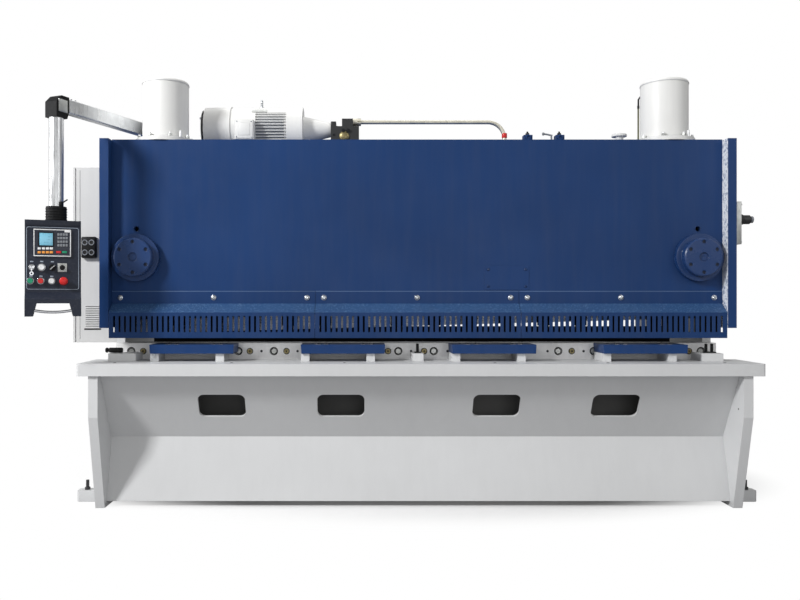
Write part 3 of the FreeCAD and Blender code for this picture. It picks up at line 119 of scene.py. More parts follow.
class Material(Tree):
    """Builds one material from stacked finishes."""

    def __init__(self, name):
        self.mat = bpy.data.materials.new(name)
        self.mat.use_nodes = True
        super().__init__(self.mat.node_tree)
        self.out = self.add("ShaderNodeOutputMaterial")
        self.bsdf = self.add("ShaderNodeBsdfPrincipled")
        self.show(self.bsdf)
        self.coord = (self.add("ShaderNodeTexCoord"), "Object")

    def show(self, shader):
        self.surface = shader
        self.feed((shader, 0), self.out, "Surface")

    def layer(self, mask):
        """Starts a second finish, which shows where the mask is 1."""
        self.bsdf = self.add("ShaderNodeBsdfPrincipled")
        self.show(self.add("ShaderNodeMixShader", {0: mask, 1: (self.surface, 0), 2: (self.bsdf, 0)}))

    def noise(self, scale, detail=3.0, rough=0.55, stretch=None):
        place = self.coord
        if stretch:
            place = (self.add("ShaderNodeMapping", {"Vector": place, "Scale": stretch}), "Vector")
        inputs = {"Vector": place, "Scale": scale, "Detail": detail, "Roughness": rough}
        return (self.add("ShaderNodeTexNoise", inputs), "Fac")

    def span(self, value, low, high, to_low=0.0, to_high=1.0):
        """Maps a value from low..high to to_low..to_high, clamped."""
        inputs = {"Value": value, "From Min": low, "From Max": high, "To Min": to_low, "To Max": to_high}
        return (self.add("ShaderNodeMapRange", inputs), "Result")

    def patches(self, scale, detail, rough, low, high, to_low=0.0, to_high=1.0, stretch=None):
        """Noise, mapped from low..high to to_low..to_high."""
        return self.span(self.noise(scale, detail, rough, stretch), low, high, to_low, to_high)

    def math(self, operation, a, b=0.0):
        return (self.add("ShaderNodeMath", {0: a, 1: b}, operation=operation), "Value")

    def product(self, first, *others):
        for other in others:
            first = self.math("MULTIPLY", first, other)
        return first

    def mix(self, factor, a, b):
        """Mixes two colours."""
        node = self.add("ShaderNodeMix", {MIX_FACTOR: factor, MIX_A: a, MIX_B: b}, data_type="RGBA")
        return (node, MIX_RESULT)

    def position(self, axis):
        """One coordinate of the point, in metres."""
        return (self.add("ShaderNodeSeparateXYZ", {"Vector": self.coord}), axis)

    def edges(self, radius):
        """1 along sharp edges and 0 on flat faces."""
        soft = self.add("ShaderNodeBevel", {"Radius": radius}, samples=4)
        flat = self.add("ShaderNodeNewGeometry")
        normals = {0: (soft, "Normal"), 1: (flat, "Normal")}
        dot = self.add("ShaderNodeVectorMath", normals, operation="DOT_PRODUCT")
        return self.span(self.math("SUBTRACT", 1.0, (dot, "Value")), 0.05, 0.35)

    def corners(self, distance):
        """1 deep in corners and 0 in the open."""
        node = self.add("ShaderNodeAmbientOcclusion", {"Distance": distance}, samples=4)
        return self.span((node, "AO"), 0.85, 0.25)

    def look(self, colour, rough, shine=0.5):
        for socket, value in (("Base Color", colour), ("Roughness", rough), ("Specular IOR Level", shine)):
            self.feed(value, self.bsdf, socket)

    def bump(self, layers, bevel=0.0):
        """Stacks bump layers of (height, strength, distance) over an optional rounded edge."""
        last = self.add("ShaderNodeBevel", {"Radius": bevel}, samples=4) if bevel else None
        for height, strength, distance in layers:
            node = self.add("ShaderNodeBump", {"Height": height, "Strength": strength, "Distance": distance})
            if last:
                self.feed((last, "Normal"), node, "Normal")
            last = node
        self.feed((last, "Normal"), self.bsdf, "Normal")


def paint(m, colour, rough=0.38, spread=0.06, peel=0.1, bevel=0.0022, wear=0.5, worn=None,
          grime=0.3, speckle=0.0, fleck=None, streak=0.04, shine=0.5):
    """Sprayed paint: cloudy tone, orange peel, streaks, grime with painted shade in corners, and lighter worn
    edges.
    """
    base = srgb(*colour)
    cloud = m.patches(0.9, 4.0, 0.6, 0.32, 0.68)
    shade = m.mix(cloud, scaled(base, 1.0 - spread * 2.2), scaled(base, 1.0 + spread * 2.2))
    runs = m.patches(2.2, 5.0, 0.65, 0.42, 0.75, 0.0, streak * 4.0, stretch=(9.0, 9.0, 0.7))
    shade = m.mix(runs, shade, scaled(base, 0.62, 0.05))
    if speckle:
        shade = m.mix(m.patches(130.0, 2.0, 0.6, 0.52, 0.68, 0.0, speckle), shade, srgb(*fleck))
    # Ambient occlusion darkens corners and recesses, in patches: grime and painted shade.
    soot = m.product(m.corners(0.07), m.patches(7.0, 5.0, 0.7, 0.3, 0.7, 0.35, 1.0), grime)
    shade = m.mix(soot, shade, scaled(base, 0.3, 0.008))
    rub = m.product(m.edges(0.0022), m.patches(38.0, 4.0, 0.7, 0.48, 0.66), wear)
    shade = m.mix(rub, shade, srgb(*worn) if worn else scaled(base, 1.5, 0.06))
    m.look(shade, m.patches(5.5, 5.0, 0.65, 0.3, 0.7, rough - 0.07, rough + 0.1), shine)
    m.bump([(m.noise(3.0, 2.0, 0.5), 0.1, 0.004), (m.noise(240.0, 2.0, 0.5), peel, 0.0008)], bevel)


def metal(m, colour, rough=0.3, brushed=(1.0, 1.0, 1.0), stain=0.15, scratch=0.15):
    """Bare or plated metal with brushing, stains and light scratches."""
    base = srgb(*colour)
    shade = m.mix(m.patches(11.0, 5.0, 0.65, 0.3, 0.7), scaled(base, 0.8), base)
    brown = tuple(c * k for c, k in zip(base, (0.42, 0.34, 0.27, 1.0)))
    shade = m.mix(m.patches(34.0, 6.0, 0.75, 0.55, 0.75, 0.0, stain * 2.0), shade, brown)
    grain = m.noise(90.0, 3.0, 0.6, brushed)
    m.look(shade, m.span(grain, 0.3, 0.7, rough - 0.08, rough + 0.14))
    m.feed(1.0, m.bsdf, "Metallic")
    m.bump([(grain, scratch, 0.0006)], bevel=0.0008)


def plastic(m, colour, rough=0.4, grain=0.1, edge_light=0.25, dust=0.06, shine=0.3):
    """Moulded plastic with a fine grain, dust and paler rubbed edges."""
    base = srgb(*colour)
    shade = m.mix(m.patches(6.0, 4.0, 0.6, 0.3, 0.7), base, scaled(base, 1.15, 0.004))
    shade = m.mix(m.patches(75.0, 5.0, 0.7, 0.52, 0.72, 0.0, dust * 3.0), shade, scaled(base, 0.6, 0.12))
    shade = m.mix(m.product(m.edges(0.0014), edge_light), shade, scaled(base, 1.6, 0.05))
    m.look(shade, m.patches(9.0, 4.0, 0.6, 0.3, 0.7, rough - 0.06, rough + 0.08), shine)
    m.bump([(m.noise(420.0, 2.0, 0.5), grain, 0.0005)], bevel=0.0015)


BLUE = dict(colour=(25, 58, 108), rough=0.38, spread=0.05, peel=0.14, wear=0.35, grime=0.3, shine=0.2)
WHITE = dict(colour=(214, 215, 216), rough=0.4, spread=0.018, peel=0.1, wear=0.25, grime=0.14,
             worn=(170, 168, 162), streak=0.02)
PAINTS = {
    "blue_paint": BLUE,
    # A darker blue: painted shade for the boss screws
    "blue_dark": dict(colour=(16, 34, 66), rough=0.36, wear=0.7, bevel=0.0008),
    # A lighter blue: painted highlight along the guards' top bend
    "blue_edge": dict(colour=(66, 94, 136), rough=0.4, spread=0.08, peel=0.2, wear=0.3, grime=0.05),
    "blue_flange": dict(colour=(26, 58, 108), rough=0.26, spread=0.05, peel=0.3, wear=0.6, grime=0.1,
                        bevel=0.005),
    "white_paint": WHITE,
    "cabinet_grey": dict(colour=(206, 206, 205), rough=0.45, spread=0.015, peel=0.25, wear=0.15, grime=0.15,
                         worn=(165, 165, 162)),
    "motor_white": dict(colour=(236, 236, 234), rough=0.42, spread=0.02, peel=0.18, wear=0.2, grime=0.22,
                        worn=(160, 160, 158)),
    "valve_black": dict(colour=(40, 41, 42), rough=0.42, spread=0.05, peel=0.2, wear=0.6, grime=0.2,
                        worn=(120, 118, 112)),
}
METALS = {
    "dark_steel": dict(colour=(34, 35, 38), rough=0.55, stain=0.04),
    "blade_steel": dict(colour=(176, 178, 182), rough=0.26, brushed=(0.05, 1.0, 6.0)),
    "ball_steel": dict(colour=(222, 224, 228), rough=0.14, stain=0.04),
    "pipe_steel": dict(colour=(242, 238, 222), rough=0.5, brushed=(0.1, 1.0, 1.0), stain=0.2),
    "screw_steel": dict(colour=(218, 222, 226), rough=0.24, stain=0.05),
    "dark_screw": dict(colour=(58, 60, 64), rough=0.4, stain=0.08),
    "brass": dict(colour=(158, 146, 108), rough=0.42, stain=0.12),
    "zinc": dict(colour=(206, 208, 206), rough=0.44, stain=0.1),
    "arm_aluminium": dict(colour=(236, 238, 240), rough=0.3, brushed=(1.0, 1.0, 0.06), stain=0.02),
    "handle_chrome": dict(colour=(226, 228, 232), rough=0.13, stain=0.02, scratch=0.05),
}
PLASTICS = {
    "black_plastic": dict(colour=(15, 16, 18), rough=0.46, grain=0.12, edge_light=0.12, dust=0.03,
                          shine=0.15),
    "pendant_black": dict(colour=(30, 36, 50), rough=0.46, grain=0.25),
    "panel_face": dict(colour=(27, 32, 45), rough=0.38),
    "panel_edge": dict(colour=(150, 160, 174), rough=0.42),
    "display_plastic": dict(colour=(28, 34, 48), rough=0.24, grain=0.05),
    "button_plastic": dict(colour=(190, 30, 34), rough=0.28, grain=0.05),
    "rubber_black": dict(colour=(24, 24, 25), rough=0.62, grain=0.3),
    "red_plastic": dict(colour=(206, 40, 40), rough=0.28, grain=0.06),
    "green_plastic": dict(colour=(22, 142, 104), rough=0.28, grain=0.06),
    "white_plastic": dict(colour=(232, 233, 234), rough=0.3, grain=0.06),
    "grey_plastic": dict(colour=(128, 132, 138), rough=0.36),
    "orange_plastic": dict(colour=(244, 160, 70), rough=0.34, grain=0.06),
    "olive_rubber": dict(colour=(112, 112, 92), rough=0.5, grain=0.3),
    "hole_black": dict(colour=(16, 16, 18), rough=0.7, grain=0.2),
}

# Heights and places where a node's finish changes
FRAME_BLUE_FROM_Z = 0.966
FRAME_OUTSIDE_FROM_X = 1.6915
# The painted glare on the right frame's inner face lies in front of this depth
FRAME_SHINY_BEFORE_Y = -0.64
GUARD_BAND_Z = (1.051, 1.099)
LUG_TOP_Z = 0.0603
BARE_BEAM_BELOW_Z = 0.65


def frame_paint(m):
    """Side frames: white, with blue above the throat, where the left one's inner face is blue as painted
    shade and the right one's inner face carries a painted glare near the front.
    """
    paint(m, **WHITE)
    wavy = m.math("ADD", m.position("Z"), m.span(m.noise(30.0, 2.0), 0.0, 1.0, -0.0015, 0.0015))
    above = m.span(wavy, FRAME_BLUE_FROM_Z - 0.0005, FRAME_BLUE_FROM_Z + 0.0005)
    x = m.position("X")
    near, far = FRAME_OUTSIDE_FROM_X - 0.0003, FRAME_OUTSIDE_FROM_X + 0.0003
    outside = m.span(m.math("ABSOLUTE", x), near, far)
    # Above the throat the left frame's inner face is painted blue as painted shade; the right one's stays
    # white.
    m.layer(m.product(above, m.math("MAXIMUM", outside, m.math("LESS_THAN", x, 0.0))))
    paint(m, **BLUE)
    # Painted glare: glossy near-white lumps on the right frame's inner face near the front.
    right_inside = m.product(above, m.span(x, near, far, 1.0, 0.0), m.math("GREATER_THAN", x, 0.0))
    m.layer(m.product(right_inside, m.math("LESS_THAN", m.position("Y"), FRAME_SHINY_BEFORE_Y)))
    lumps = m.noise(95.0, 3.0, 0.6, stretch=(1.0, 1.0, 0.7))
    m.look(m.mix(m.span(lumps, 0.34, 0.5), srgb(104, 126, 164), srgb(240, 243, 248)), 0.22)
    m.bump([(lumps, 0.5, 0.003)])


def beam_face(m):
    """Table beam: bright above the table, darkened inside the base as painted shade."""
    paint(m, (240, 240, 240), rough=0.34, spread=0.04, peel=0.12, wear=0.3, grime=0.14,
          worn=(140, 138, 134), streak=0.07)
    # Painted shade: the beam face inside the base takes a dark grey paint.
    m.layer(m.span(m.position("Z"), BARE_BEAM_BELOW_Z + 0.01, BARE_BEAM_BELOW_Z - 0.01))
    paint(m, (88, 88, 87), rough=0.6, spread=0.16, peel=0.2, wear=0.5, grime=0.3)


def lug_paint(m):
    """Foot lugs: white plates with dark levelling screws."""
    paint(m, **WHITE)
    m.layer(m.span(m.position("Z"), LUG_TOP_Z - 0.0002, LUG_TOP_Z + 0.0002))
    paint(m, (46, 46, 48), rough=0.42, spread=0.05, peel=0.2, wear=0.6, grime=0.2)


def guard_paint(m):
    """Guards: blue sheet with a gritty band along the bend, its lighter tone painted light on the sloped
    face.
    """
    paint(m, (24, 56, 104), rough=0.4, spread=0.05, peel=0.15, wear=0.5, grime=0.15, shine=0.2)
    z = m.position("Z")
    low, high = GUARD_BAND_Z
    # The band's speckle is the sheet's own grit; its lighter colour is painted light.
    m.layer(m.product(m.span(z, low - 0.001, low + 0.001), m.span(z, high - 0.001, high + 0.001, 1.0, 0.0)))
    paint(m, (42, 76, 122), rough=0.45, spread=0.06, peel=0.6, wear=0.2, grime=0.1, speckle=0.7,
          fleck=(92, 126, 162), shine=0.3)


def display_glass(m):
    """A lit cyan screen with faint rows of bars."""
    rows = m.add("ShaderNodeTexWave", {"Vector": m.coord, "Scale": 22.0},
                 wave_type="BANDS", bands_direction="Z")
    words = m.patches(160.0, 1.0, 0.5, 0.5, 0.56, stretch=(1.0, 1.0, 0.15))
    marks = m.product(words, m.span((rows, "Fac"), 0.6, 0.75), 0.35)
    shade = m.mix(marks, srgb(120, 182, 206), srgb(60, 112, 140))
    m.look(shade, m.patches(30.0, 4.0, 0.6, 0.3, 0.7, 0.1, 0.22))
    m.feed(shade, m.bsdf, "Emission Color")
    m.feed(0.25, m.bsdf, "Emission Strength")


MAT = {}
for make, table in ((paint, PAINTS), (metal, METALS), (plastic, PLASTICS)):
    for material, values in table.items():
        made = Material(material)
        make(made, **values)
        MAT[material] = made.mat
for make in (frame_paint, beam_face, lug_paint, guard_paint, display_glass):
    made = Material(make.__name__)
    make(made)
    MAT[make.__name__] = made.mat

# The record's slots that finer finishes belong to
FINER = {
    "blue_paint": "blue_edge blue_dark blue_flange guard_paint",
    "white_paint": "frame_paint lug_paint beam_face",
    "screw_steel": "dark_screw brass zinc",
    "pendant_black": "panel_face panel_edge",
    "black_plastic": "rubber_black grey_plastic olive_rubber hole_black",
    "button_plastic": "red_plastic green_plastic white_plastic orange_plastic",
    "display_plastic": "display_glass",
}
SLOT_OF = {finer: slot for slot, group in FINER.items() for finer in group.split()}

NODES_IN = {
    "frame_paint": "side_frame_left side_frame_right",
    "lug_paint": "foot_lugs",
    "beam_face": "table_beam",
    "blade_steel": "lower_blade upper_blade",
    "white_paint": "table_plate base_panel block_posts end_blocks rear_tie_beam",
    "blue_paint": "table_blocks front_plate access_panel deck_plate oil_tank deck_blocks",
    "ball_steel": "ball_transfers",
    "blue_flange": "guide_bosses",
    "guard_paint": "guard_left guard_centre guard_right",
    "dark_steel": "hold_down_beam hold_down_cylinders end_guides back_gauge blade_beam",
    "motor_white": "lift_cylinders motor_body motor_fan_cowl motor_terminal_box pump_bell_housing filler_cap",
    "valve_black": "valve_block side_valve",
    "pipe_steel": "pressure_pipe",
    "cabinet_grey": "cabinet_body cabinet_door",
    "black_plastic": "socket_box arm_post arm_elbows pendant_collar",
    "arm_aluminium": "support_arm",
    "pendant_black": "pendant_box",
    "handle_chrome": "pendant_handle",
    "display_plastic": "display_unit",
    "button_plastic": "control_buttons",
}
for material, names in NODES_IN.items():
    for name in names.split():
        for slot in NODES[name].material_slots:
            slot.material = MAT[material]


# Pieces
SMOOTH_BELOW_DEG = 35


def onto(axis):
    """Turns +Z onto an axis."""
    z = Vector(axis).normalized()
    up = UP if abs(z.z) < 0.9 else BACK
    y = (up - z * up.dot(z)).normalized()
    return Matrix((y.cross(z), y, z)).transposed().to_4x4()


def around(centre, radius, count, start=0.0, u=RIGHT, v=UP):
    """Evenly spaced points on a circle that turns from direction u towards v."""
    angles = [2 * math.pi * k / count + start for k in range(count)]
    return [Vector(centre) + (u * math.cos(a) + v * math.sin(a)) * radius for a in angles]


class Piece:
    """Collects shapes of one material that ride on one body into one mesh object."""

    def __init__(self, name, key, body="frame", turn=None):
        self.name = name
        self.key = key
        self.slot = SLOT_OF.get(key, key)
        self.body = body
        self.turn = turn
        self.bm = bmesh.new()

    def skin(self, rings, closed):
        """Joins neighbouring rings with faces; a ring that repeats one vertex is a tip."""
        pairs = list(zip(rings, rings[1:]))
        if closed:
            pairs.append((rings[-1], rings[0]))
        for low, high in pairs:
            for k in range(len(low)):
                n = (k + 1) % len(low)
                corners = list(dict.fromkeys((low[k], low[n], high[n], high[k])))
                if len(corners) > 2:
                    self.bm.faces.new(corners)

    def lathe(self, profile, at, axis, steps=32, turn=0.0):
        """Turns (radius, height) points about an axis; steps=6 makes hexagons, two open ends make a ring."""
        place = Matrix.Translation(at) @ onto(axis)
        rings = []
        for radius, height in profile:
            if radius == 0.0:
                rings.append([self.bm.verts.new(place @ Vector((0, 0, height)))] * steps)
            else:
                circle = around((0, 0, height), radius, steps, turn, v=BACK)
                rings.append([self.bm.verts.new(place @ point) for point in circle])
        open_start = profile[0][0] > 0.0
        open_end = profile[-1][0] > 0.0
        self.skin(rings, closed=open_start and open_end)
        if open_start and not open_end:
            self.bm.faces.new(list(reversed(rings[0])))

    def solid(self, profile, at, axis, steps=32, turn=0.0):
        """A lathe whose two ends are flat and closed."""
        self.lathe([(0.0, profile[0][1]), *profile, (0.0, profile[-1][1])], at, axis, steps, turn)

    def disc(self, radius, height, at, axis, steps=32):
        self.solid([(radius, 0.0), (radius, height)], at, axis, steps)

    def ring(self, inner, outer, height, at, axis, steps=32):
        self.lathe([(inner, 0.0), (outer, 0.0), (outer, height), (inner, height)], at, axis, steps)

    def box(self, low, high, round_edge=0.0015, segments=2, turn=None):
        """A block between two corners with rounded edges, turned about its middle by a matrix."""
        low, high = Vector(low), Vector(high)
        size = Matrix.Diagonal((*(high - low), 1.0))
        verts = bmesh.ops.create_cube(self.bm, size=1.0, matrix=size)["verts"]
        if round_edge:
            edges = dict.fromkeys(edge for vert in verts for edge in vert.link_edges)
            verts = bmesh.ops.bevel(self.bm, geom=list(edges), offset=round_edge, segments=segments,
                                    affect="EDGES", profile=0.5)["verts"]
        place = Matrix.Translation((low + high) / 2)
        bmesh.ops.transform(self.bm, matrix=place @ turn.to_4x4() if turn else place, verts=verts)

    def tube(self, points, radius, steps=12, closed=False):
        """A round bar that follows points."""
        points = [Vector(p) for p in points]
        count = len(points)
        rings = []
        side = None
        for k, point in enumerate(points):
            before = points[k - 1] if (k > 0 or closed) else point
            after = points[(k + 1) % count] if (k < count - 1 or closed) else point
            along = (after - before).normalized()
            if side is None:
                side = along.orthogonal()
            side = (side - along * side.dot(along)).normalized()
            circle = around(point, radius, steps, u=side, v=along.cross(side))
            rings.append([self.bm.verts.new(at) for at in circle])
        self.skin(rings, closed)
        if not closed:
            self.bm.faces.new(list(reversed(rings[0])))
            self.bm.faces.new(rings[-1])

    def done(self):
        """Makes the mesh object and gives it its body."""
        if self.turn:
            bmesh.ops.transform(self.bm, matrix=self.turn, verts=self.bm.verts)
        bmesh.ops.recalc_face_normals(self.bm, faces=self.bm.faces)
        mesh = bpy.data.meshes.new(self.name)
        self.bm.to_mesh(mesh)
        self.bm.free()
        mesh.shade_smooth()
        mesh.set_sharp_from_angle(angle=math.radians(SMOOTH_BELOW_DEG))
        mesh.materials.append(MAT[self.key])
        obj = bpy.data.objects.new(self.name, mesh)
        bpy.context.scene.collection.objects.link(obj)
        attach(obj, self.body)
        return obj


def pieces(**keys):
    """New pieces on the frame, each named with its material."""
    return [Piece(name, key) for name, key in keys.items()]


def finish(*made):
    for piece in made:
        piece.done()


def dome_screw(piece, at, axis, r, washer=True, turn=0.0):
    """A round-headed screw with a hexagon socket, on a washer."""
    base = 0.0
    if washer:
        piece.lathe([(r * 0.5, 0.0), (r * 1.22, 0.0), (r * 1.26, 0.0006), (r * 1.26, 0.0016),
                     (r * 1.2, 0.002), (r * 0.5, 0.002)], at, axis, 28)
        base = 0.0018
    h = r * 0.62
    profile = [(r * 0.5, base), (r, base), (r, base + h * 0.15)]
    for step in range(1, 6):
        a = math.radians(15 * step)
        profile.append((r * (0.42 + 0.58 * math.cos(a)), base + h * (0.15 + 0.85 * math.sin(a))))
    profile += [(r * 0.42, base + h), (r * 0.38, base + h * 0.55), (0.0, base + h * 0.55)]
    piece.lathe(profile, at, axis, 28, turn)


def hex_bolt(piece, at, axis, across, height, washer=True, turn=0.0, stud=0.0):
    """A hexagon head on a washer, with a chamfered top; stud adds the end of a thread above it."""
    r = across / 2 / math.cos(math.radians(30))
    base = 0.0
    if washer:
        piece.solid([(r * 1.18, 0.0), (r * 1.22, 0.0008), (r * 1.22, 0.0022), (r * 1.18, 0.0028)], at, axis,
                    28)
        base = 0.0026
    top = base + height
    piece.lathe([(0.0, base), (r * 0.97, base), (r, base + 0.0006), (r, base + height * 0.84),
                 (r * 0.9, top), (0.0, top)], at, axis, 6, turn)
    if stud:
        core = r * 0.5
        turns = max(2, int(stud / 0.002))
        profile = [(0.0, top - 0.001), (core, top - 0.001)]
        for k in range(turns):
            z = top + stud * (k + 0.25) / turns
            profile += [(core, z), (core * 0.86, z + stud * 0.5 / turns)]
        profile += [(core * 0.8, top + stud), (0.0, top + stud)]
        piece.lathe(profile, at, axis, 16)


def socket_screw(piece, at, axis, r, height, turn=0.0):
    """A cylinder-headed screw with a hexagon socket."""
    piece.lathe([(0.0, 0.0), (r, 0.0), (r, height * 0.88), (r * 0.92, height), (r * 0.56, height),
                 (r * 0.54, height * 0.45), (0.0, height * 0.4)], at, axis, 24, turn)


# Front plate, guards and bosses
PLATE_FACE_Y = -0.653
GUARD_FACE_Y = -0.656
GUARD_CENTRES_X = (-1.1267, 0.0, 1.1267)
GUARD_HALF = 0.5615
GUARD_BOLT_STEP = 0.517
BOSS_X = 1.554
BOSS_Z = 1.353
BOSS_FACE_Y = -0.7232
SIGHT_HOLE_Z = 1.513


def add_guard_bolts():
    bolts, lips = pieces(guard_bolts="screw_steel", guard_top_strips="blue_edge")
    for centre in GUARD_CENTRES_X:
        for step in (-GUARD_BOLT_STEP, 0.0, GUARD_BOLT_STEP):
            dome_screw(bolts, (centre + step, GUARD_FACE_Y, 1.132), FRONT, 0.0115, turn=step * 3)
        # Lighter blue strips along each guard's top: a painted highlight on the bend.
        lips.box((centre - GUARD_HALF, GUARD_FACE_Y - 0.0002, 1.164),
                 (centre + GUARD_HALF, PLATE_FACE_Y - 0.0002, 1.1695), 0.0008)
    finish(bolts, lips)


def add_boss_details():
    screws, plugs, rims = pieces(boss_screws="blue_dark", boss_plugs="blue_flange", boss_rims="blue_flange")
    for x in (-BOSS_X, BOSS_X):
        # Darker blue screws: painted shade where the bosses show dark holes.
        for k, at in enumerate(around((x, BOSS_FACE_Y, BOSS_Z), 0.083, 6, math.radians(30))):
            socket_screw(screws, at, FRONT, 0.009, 0.009, turn=k * 0.7)
        hub = (x, BOSS_FACE_Y - 0.0008, BOSS_Z)
        plugs.lathe([(0.0225, 0.0), (0.0262, 0.0), (0.0266, 0.0026), (0.0256, 0.0042), (0.0234, 0.0042),
                     (0.0225, 0.0026)], hub, FRONT, 48)
        plugs.solid([(0.0205, 0.0), (0.0207, 0.0022), (0.0196, 0.0036), (0.0062, 0.0036), (0.0058, 0.0012)],
                    hub, FRONT, 48)
        rims.lathe([(0.0142, 0.0), (0.0168, 0.0), (0.0168, 0.001), (0.016, 0.0016), (0.0147, 0.0016),
                    (0.0142, 0.001)], (x, PLATE_FACE_Y, SIGHT_HOLE_Z), FRONT, 40)
    finish(screws, plugs, rims)


def add_access_panel_screws():
    screws = Piece("access_panel_screws", "blue_flange")
    for x in (0.392, 0.599):
        for z in (1.195, 1.289):
            dome_screw(screws, (x, -0.6552, z), FRONT, 0.006, turn=x * 9)
    screws.done()


# Table, beam and blocks
BEAM_FACE_Y = -0.577
BEAM_ROW_Z = 0.831
BEAM_RECESSES_X = (-1.605, -1.001, -0.801, -0.1, 0.1, 0.801, 1.001, 1.605)
BEAM_FITTINGS_X = (-1.537, -0.936, -0.73, -0.158, 0.045, 0.877, 1.067, 1.537)
BEAM_PLUGS_X = (-0.871, -0.668, -0.028, 0.177, 0.741, 0.944, 1.475)
HOSE_AT = Vector((-1.703, -0.66, 0.8418))
RING_PULL_AT = Vector((-1.4307, -0.7585, 0.805))
BLOCK_CENTRES_X = (-1.227, -0.409, 0.409, 1.227)
LEG_FACE_X = 1.74


def add_beam_bolts():
    bolts, collars, brass, bores, plugs = pieces(
        beam_bolts="zinc", beam_bolt_collars="hole_black", beam_brass_fittings="brass",
        beam_fitting_bores="hole_black", beam_plugs="dark_screw")
    for k, x in enumerate(BEAM_RECESSES_X):
        hex_bolt(bolts, (x, -0.558, BEAM_ROW_Z), FRONT, 0.029, 0.014, washer=False, turn=k * 0.9)
        # A black disc and rim in each bolt recess: painted shadow in the recess.
        collars.disc(0.0203, 0.003, (x, -0.5552, BEAM_ROW_Z), FRONT, 40)
        collars.lathe([(0.0203, 0.0), (0.0228, 0.0), (0.0226, 0.0009), (0.0203, 0.0009)],
                      (x, BEAM_FACE_Y, BEAM_ROW_Z), FRONT, 40)
    for k, x in enumerate(BEAM_FITTINGS_X):
        brass.solid([(0.0148, 0.0), (0.0152, 0.002), (0.0152, 0.009), (0.0138, 0.011)],
                    (x, -0.5712, BEAM_ROW_Z), FRONT, 6, turn=k * 0.5)
        brass.solid([(0.0098, 0.0), (0.0098, 0.006), (0.0088, 0.007)], (x, -0.5606, BEAM_ROW_Z), FRONT, 24)
        bores.solid([(0.0052, 0.0), (0.005, 0.0009)], (x, -0.5822, BEAM_ROW_Z), FRONT, 20)
        bores.lathe([(0.015, 0.0), (0.0182, 0.0), (0.018, 0.0012), (0.015, 0.0012)],
                    (x, BEAM_FACE_Y, BEAM_ROW_Z), FRONT, 32)
    for x in BEAM_PLUGS_X:
        plugs.solid([(0.0068, 0.0), (0.0066, 0.0016), (0.005, 0.0024), (0.0032, 0.0024), (0.003, 0.0008)],
                    (x, BEAM_FACE_Y, BEAM_ROW_Z), FRONT, 24)
    finish(bolts, collars, brass, bores, plugs)


def add_table_details():
    hose, knob, stops, ring, screws = pieces(
        left_throat_hose="rubber_black", left_throat_knob="black_plastic", table_stops="black_plastic",
        table_ring_pull="screw_steel", block_screws="dark_screw")
    profile = [(0.0, 0.0), (0.012, 0.0)]
    for k in range(10):
        x = 0.004 + k * 0.007
        profile += [(0.0144, x), (0.0144, x + 0.0035), (0.0118, x + 0.0042), (0.0118, x + 0.0066)]
    hose.lathe(profile + [(0.012, 0.075), (0.0, 0.075)], HOSE_AT, RIGHT, 28)
    knob.lathe([(0.0, 0.0), (0.007, 0.0), (0.007, 0.006), (0.0135, 0.007), (0.014, 0.016), (0.0105, 0.02),
                (0.0, 0.021)], HOSE_AT + RIGHT * 0.001, LEFT, 28)
    stops.box((-0.0065, -0.668, 0.8272), (0.0085, -0.652, 0.878), 0.002)
    stops.box((-0.016, -0.674, 0.827), (0.02, -0.646, 0.833))
    for x in (1.596, 1.628):
        stops.box((x - 0.006, -0.668, 0.8272), (x + 0.006, -0.652, 0.877), 0.002)
    stops.box((1.582, -0.676, 0.827), (1.646, -0.644, 0.8335))
    ring.tube(around(RING_PULL_AT, 0.0095, 24), 0.0014, 8, closed=True)
    ring.disc(0.0042, 0.01, RING_PULL_AT + Vector((0, 0.005, 0.01)), FRONT, 16)
    ring.box((-1.435, -0.754, 0.811), (-1.4264, -0.748, 0.83), 0.0006)
    for centre in BLOCK_CENTRES_X:
        for step in (-0.17, 0.17):
            socket_screw(screws, (centre + step, -0.64, 0.8768), UP, 0.0075, 0.002, turn=centre)
    for x, half in ((-1.615, 0.055), (1.607, 0.038)):
        for side in (-1, 1):
            socket_screw(screws, (x + side * half, -0.61, 0.8266), UP, 0.0065, 0.0022)
    for x in (-1.62, -1.0, -0.4, 0.4, 1.0, 1.62):
        socket_screw(screws, (x, -0.83, 0.7848), UP, 0.0075, 0.0016, turn=x)
    finish(hose, knob, stops, ring, screws)


def add_leg_details():
    screws, hole, welds = pieces(
        panel_screws="screw_steel", leg_earth_hole="hole_black", foot_welds="white_paint")
    for side in (-1, 1):
        for z in (0.62, 0.18):
            for y, rise in ((0.6, 0.0), (-0.545, 0.04)):
                hex_bolt(screws, (side * LEG_FACE_X, y, z + rise), RIGHT * side, 0.019, 0.009, turn=z)
    for y, z in ((-0.62, 1.42), (-0.62, 1.88), (0.3, 1.2), (0.3, 1.8), (-0.1, 1.95)):
        hex_bolt(screws, (LEG_FACE_X, y, z), RIGHT, 0.019, 0.009, turn=y)
    hole.solid([(0.0048, 0.0), (0.0046, 0.0006)], (1.6898, -0.837, 0.541), LEFT, 20)
    weld_x = LEG_FACE_X + 0.0015
    for side in (-1, 1):
        for y in (-0.612, 0.612):
            for step in (-0.036, 0.036):
                welds.tube([(side * (weld_x + 0.0015 * math.sin(k * 2.1)), y + step, 0.004 + k * 0.0028)
                            for k in range(20)], 0.0036, 8)
            welds.tube([(side * weld_x, y - 0.034 + k * 0.004, 0.0612 + 0.0008 * math.sin(k * 2.3))
                        for k in range(18)], 0.0034, 8)
    finish(screws, hole, welds)


# Cylinders
CYLINDER_X = 1.428
CYLINDER_Y = -0.5
FLANGE_TOP_Z = 2.03
CYLINDER_TOP_Z = 2.3628


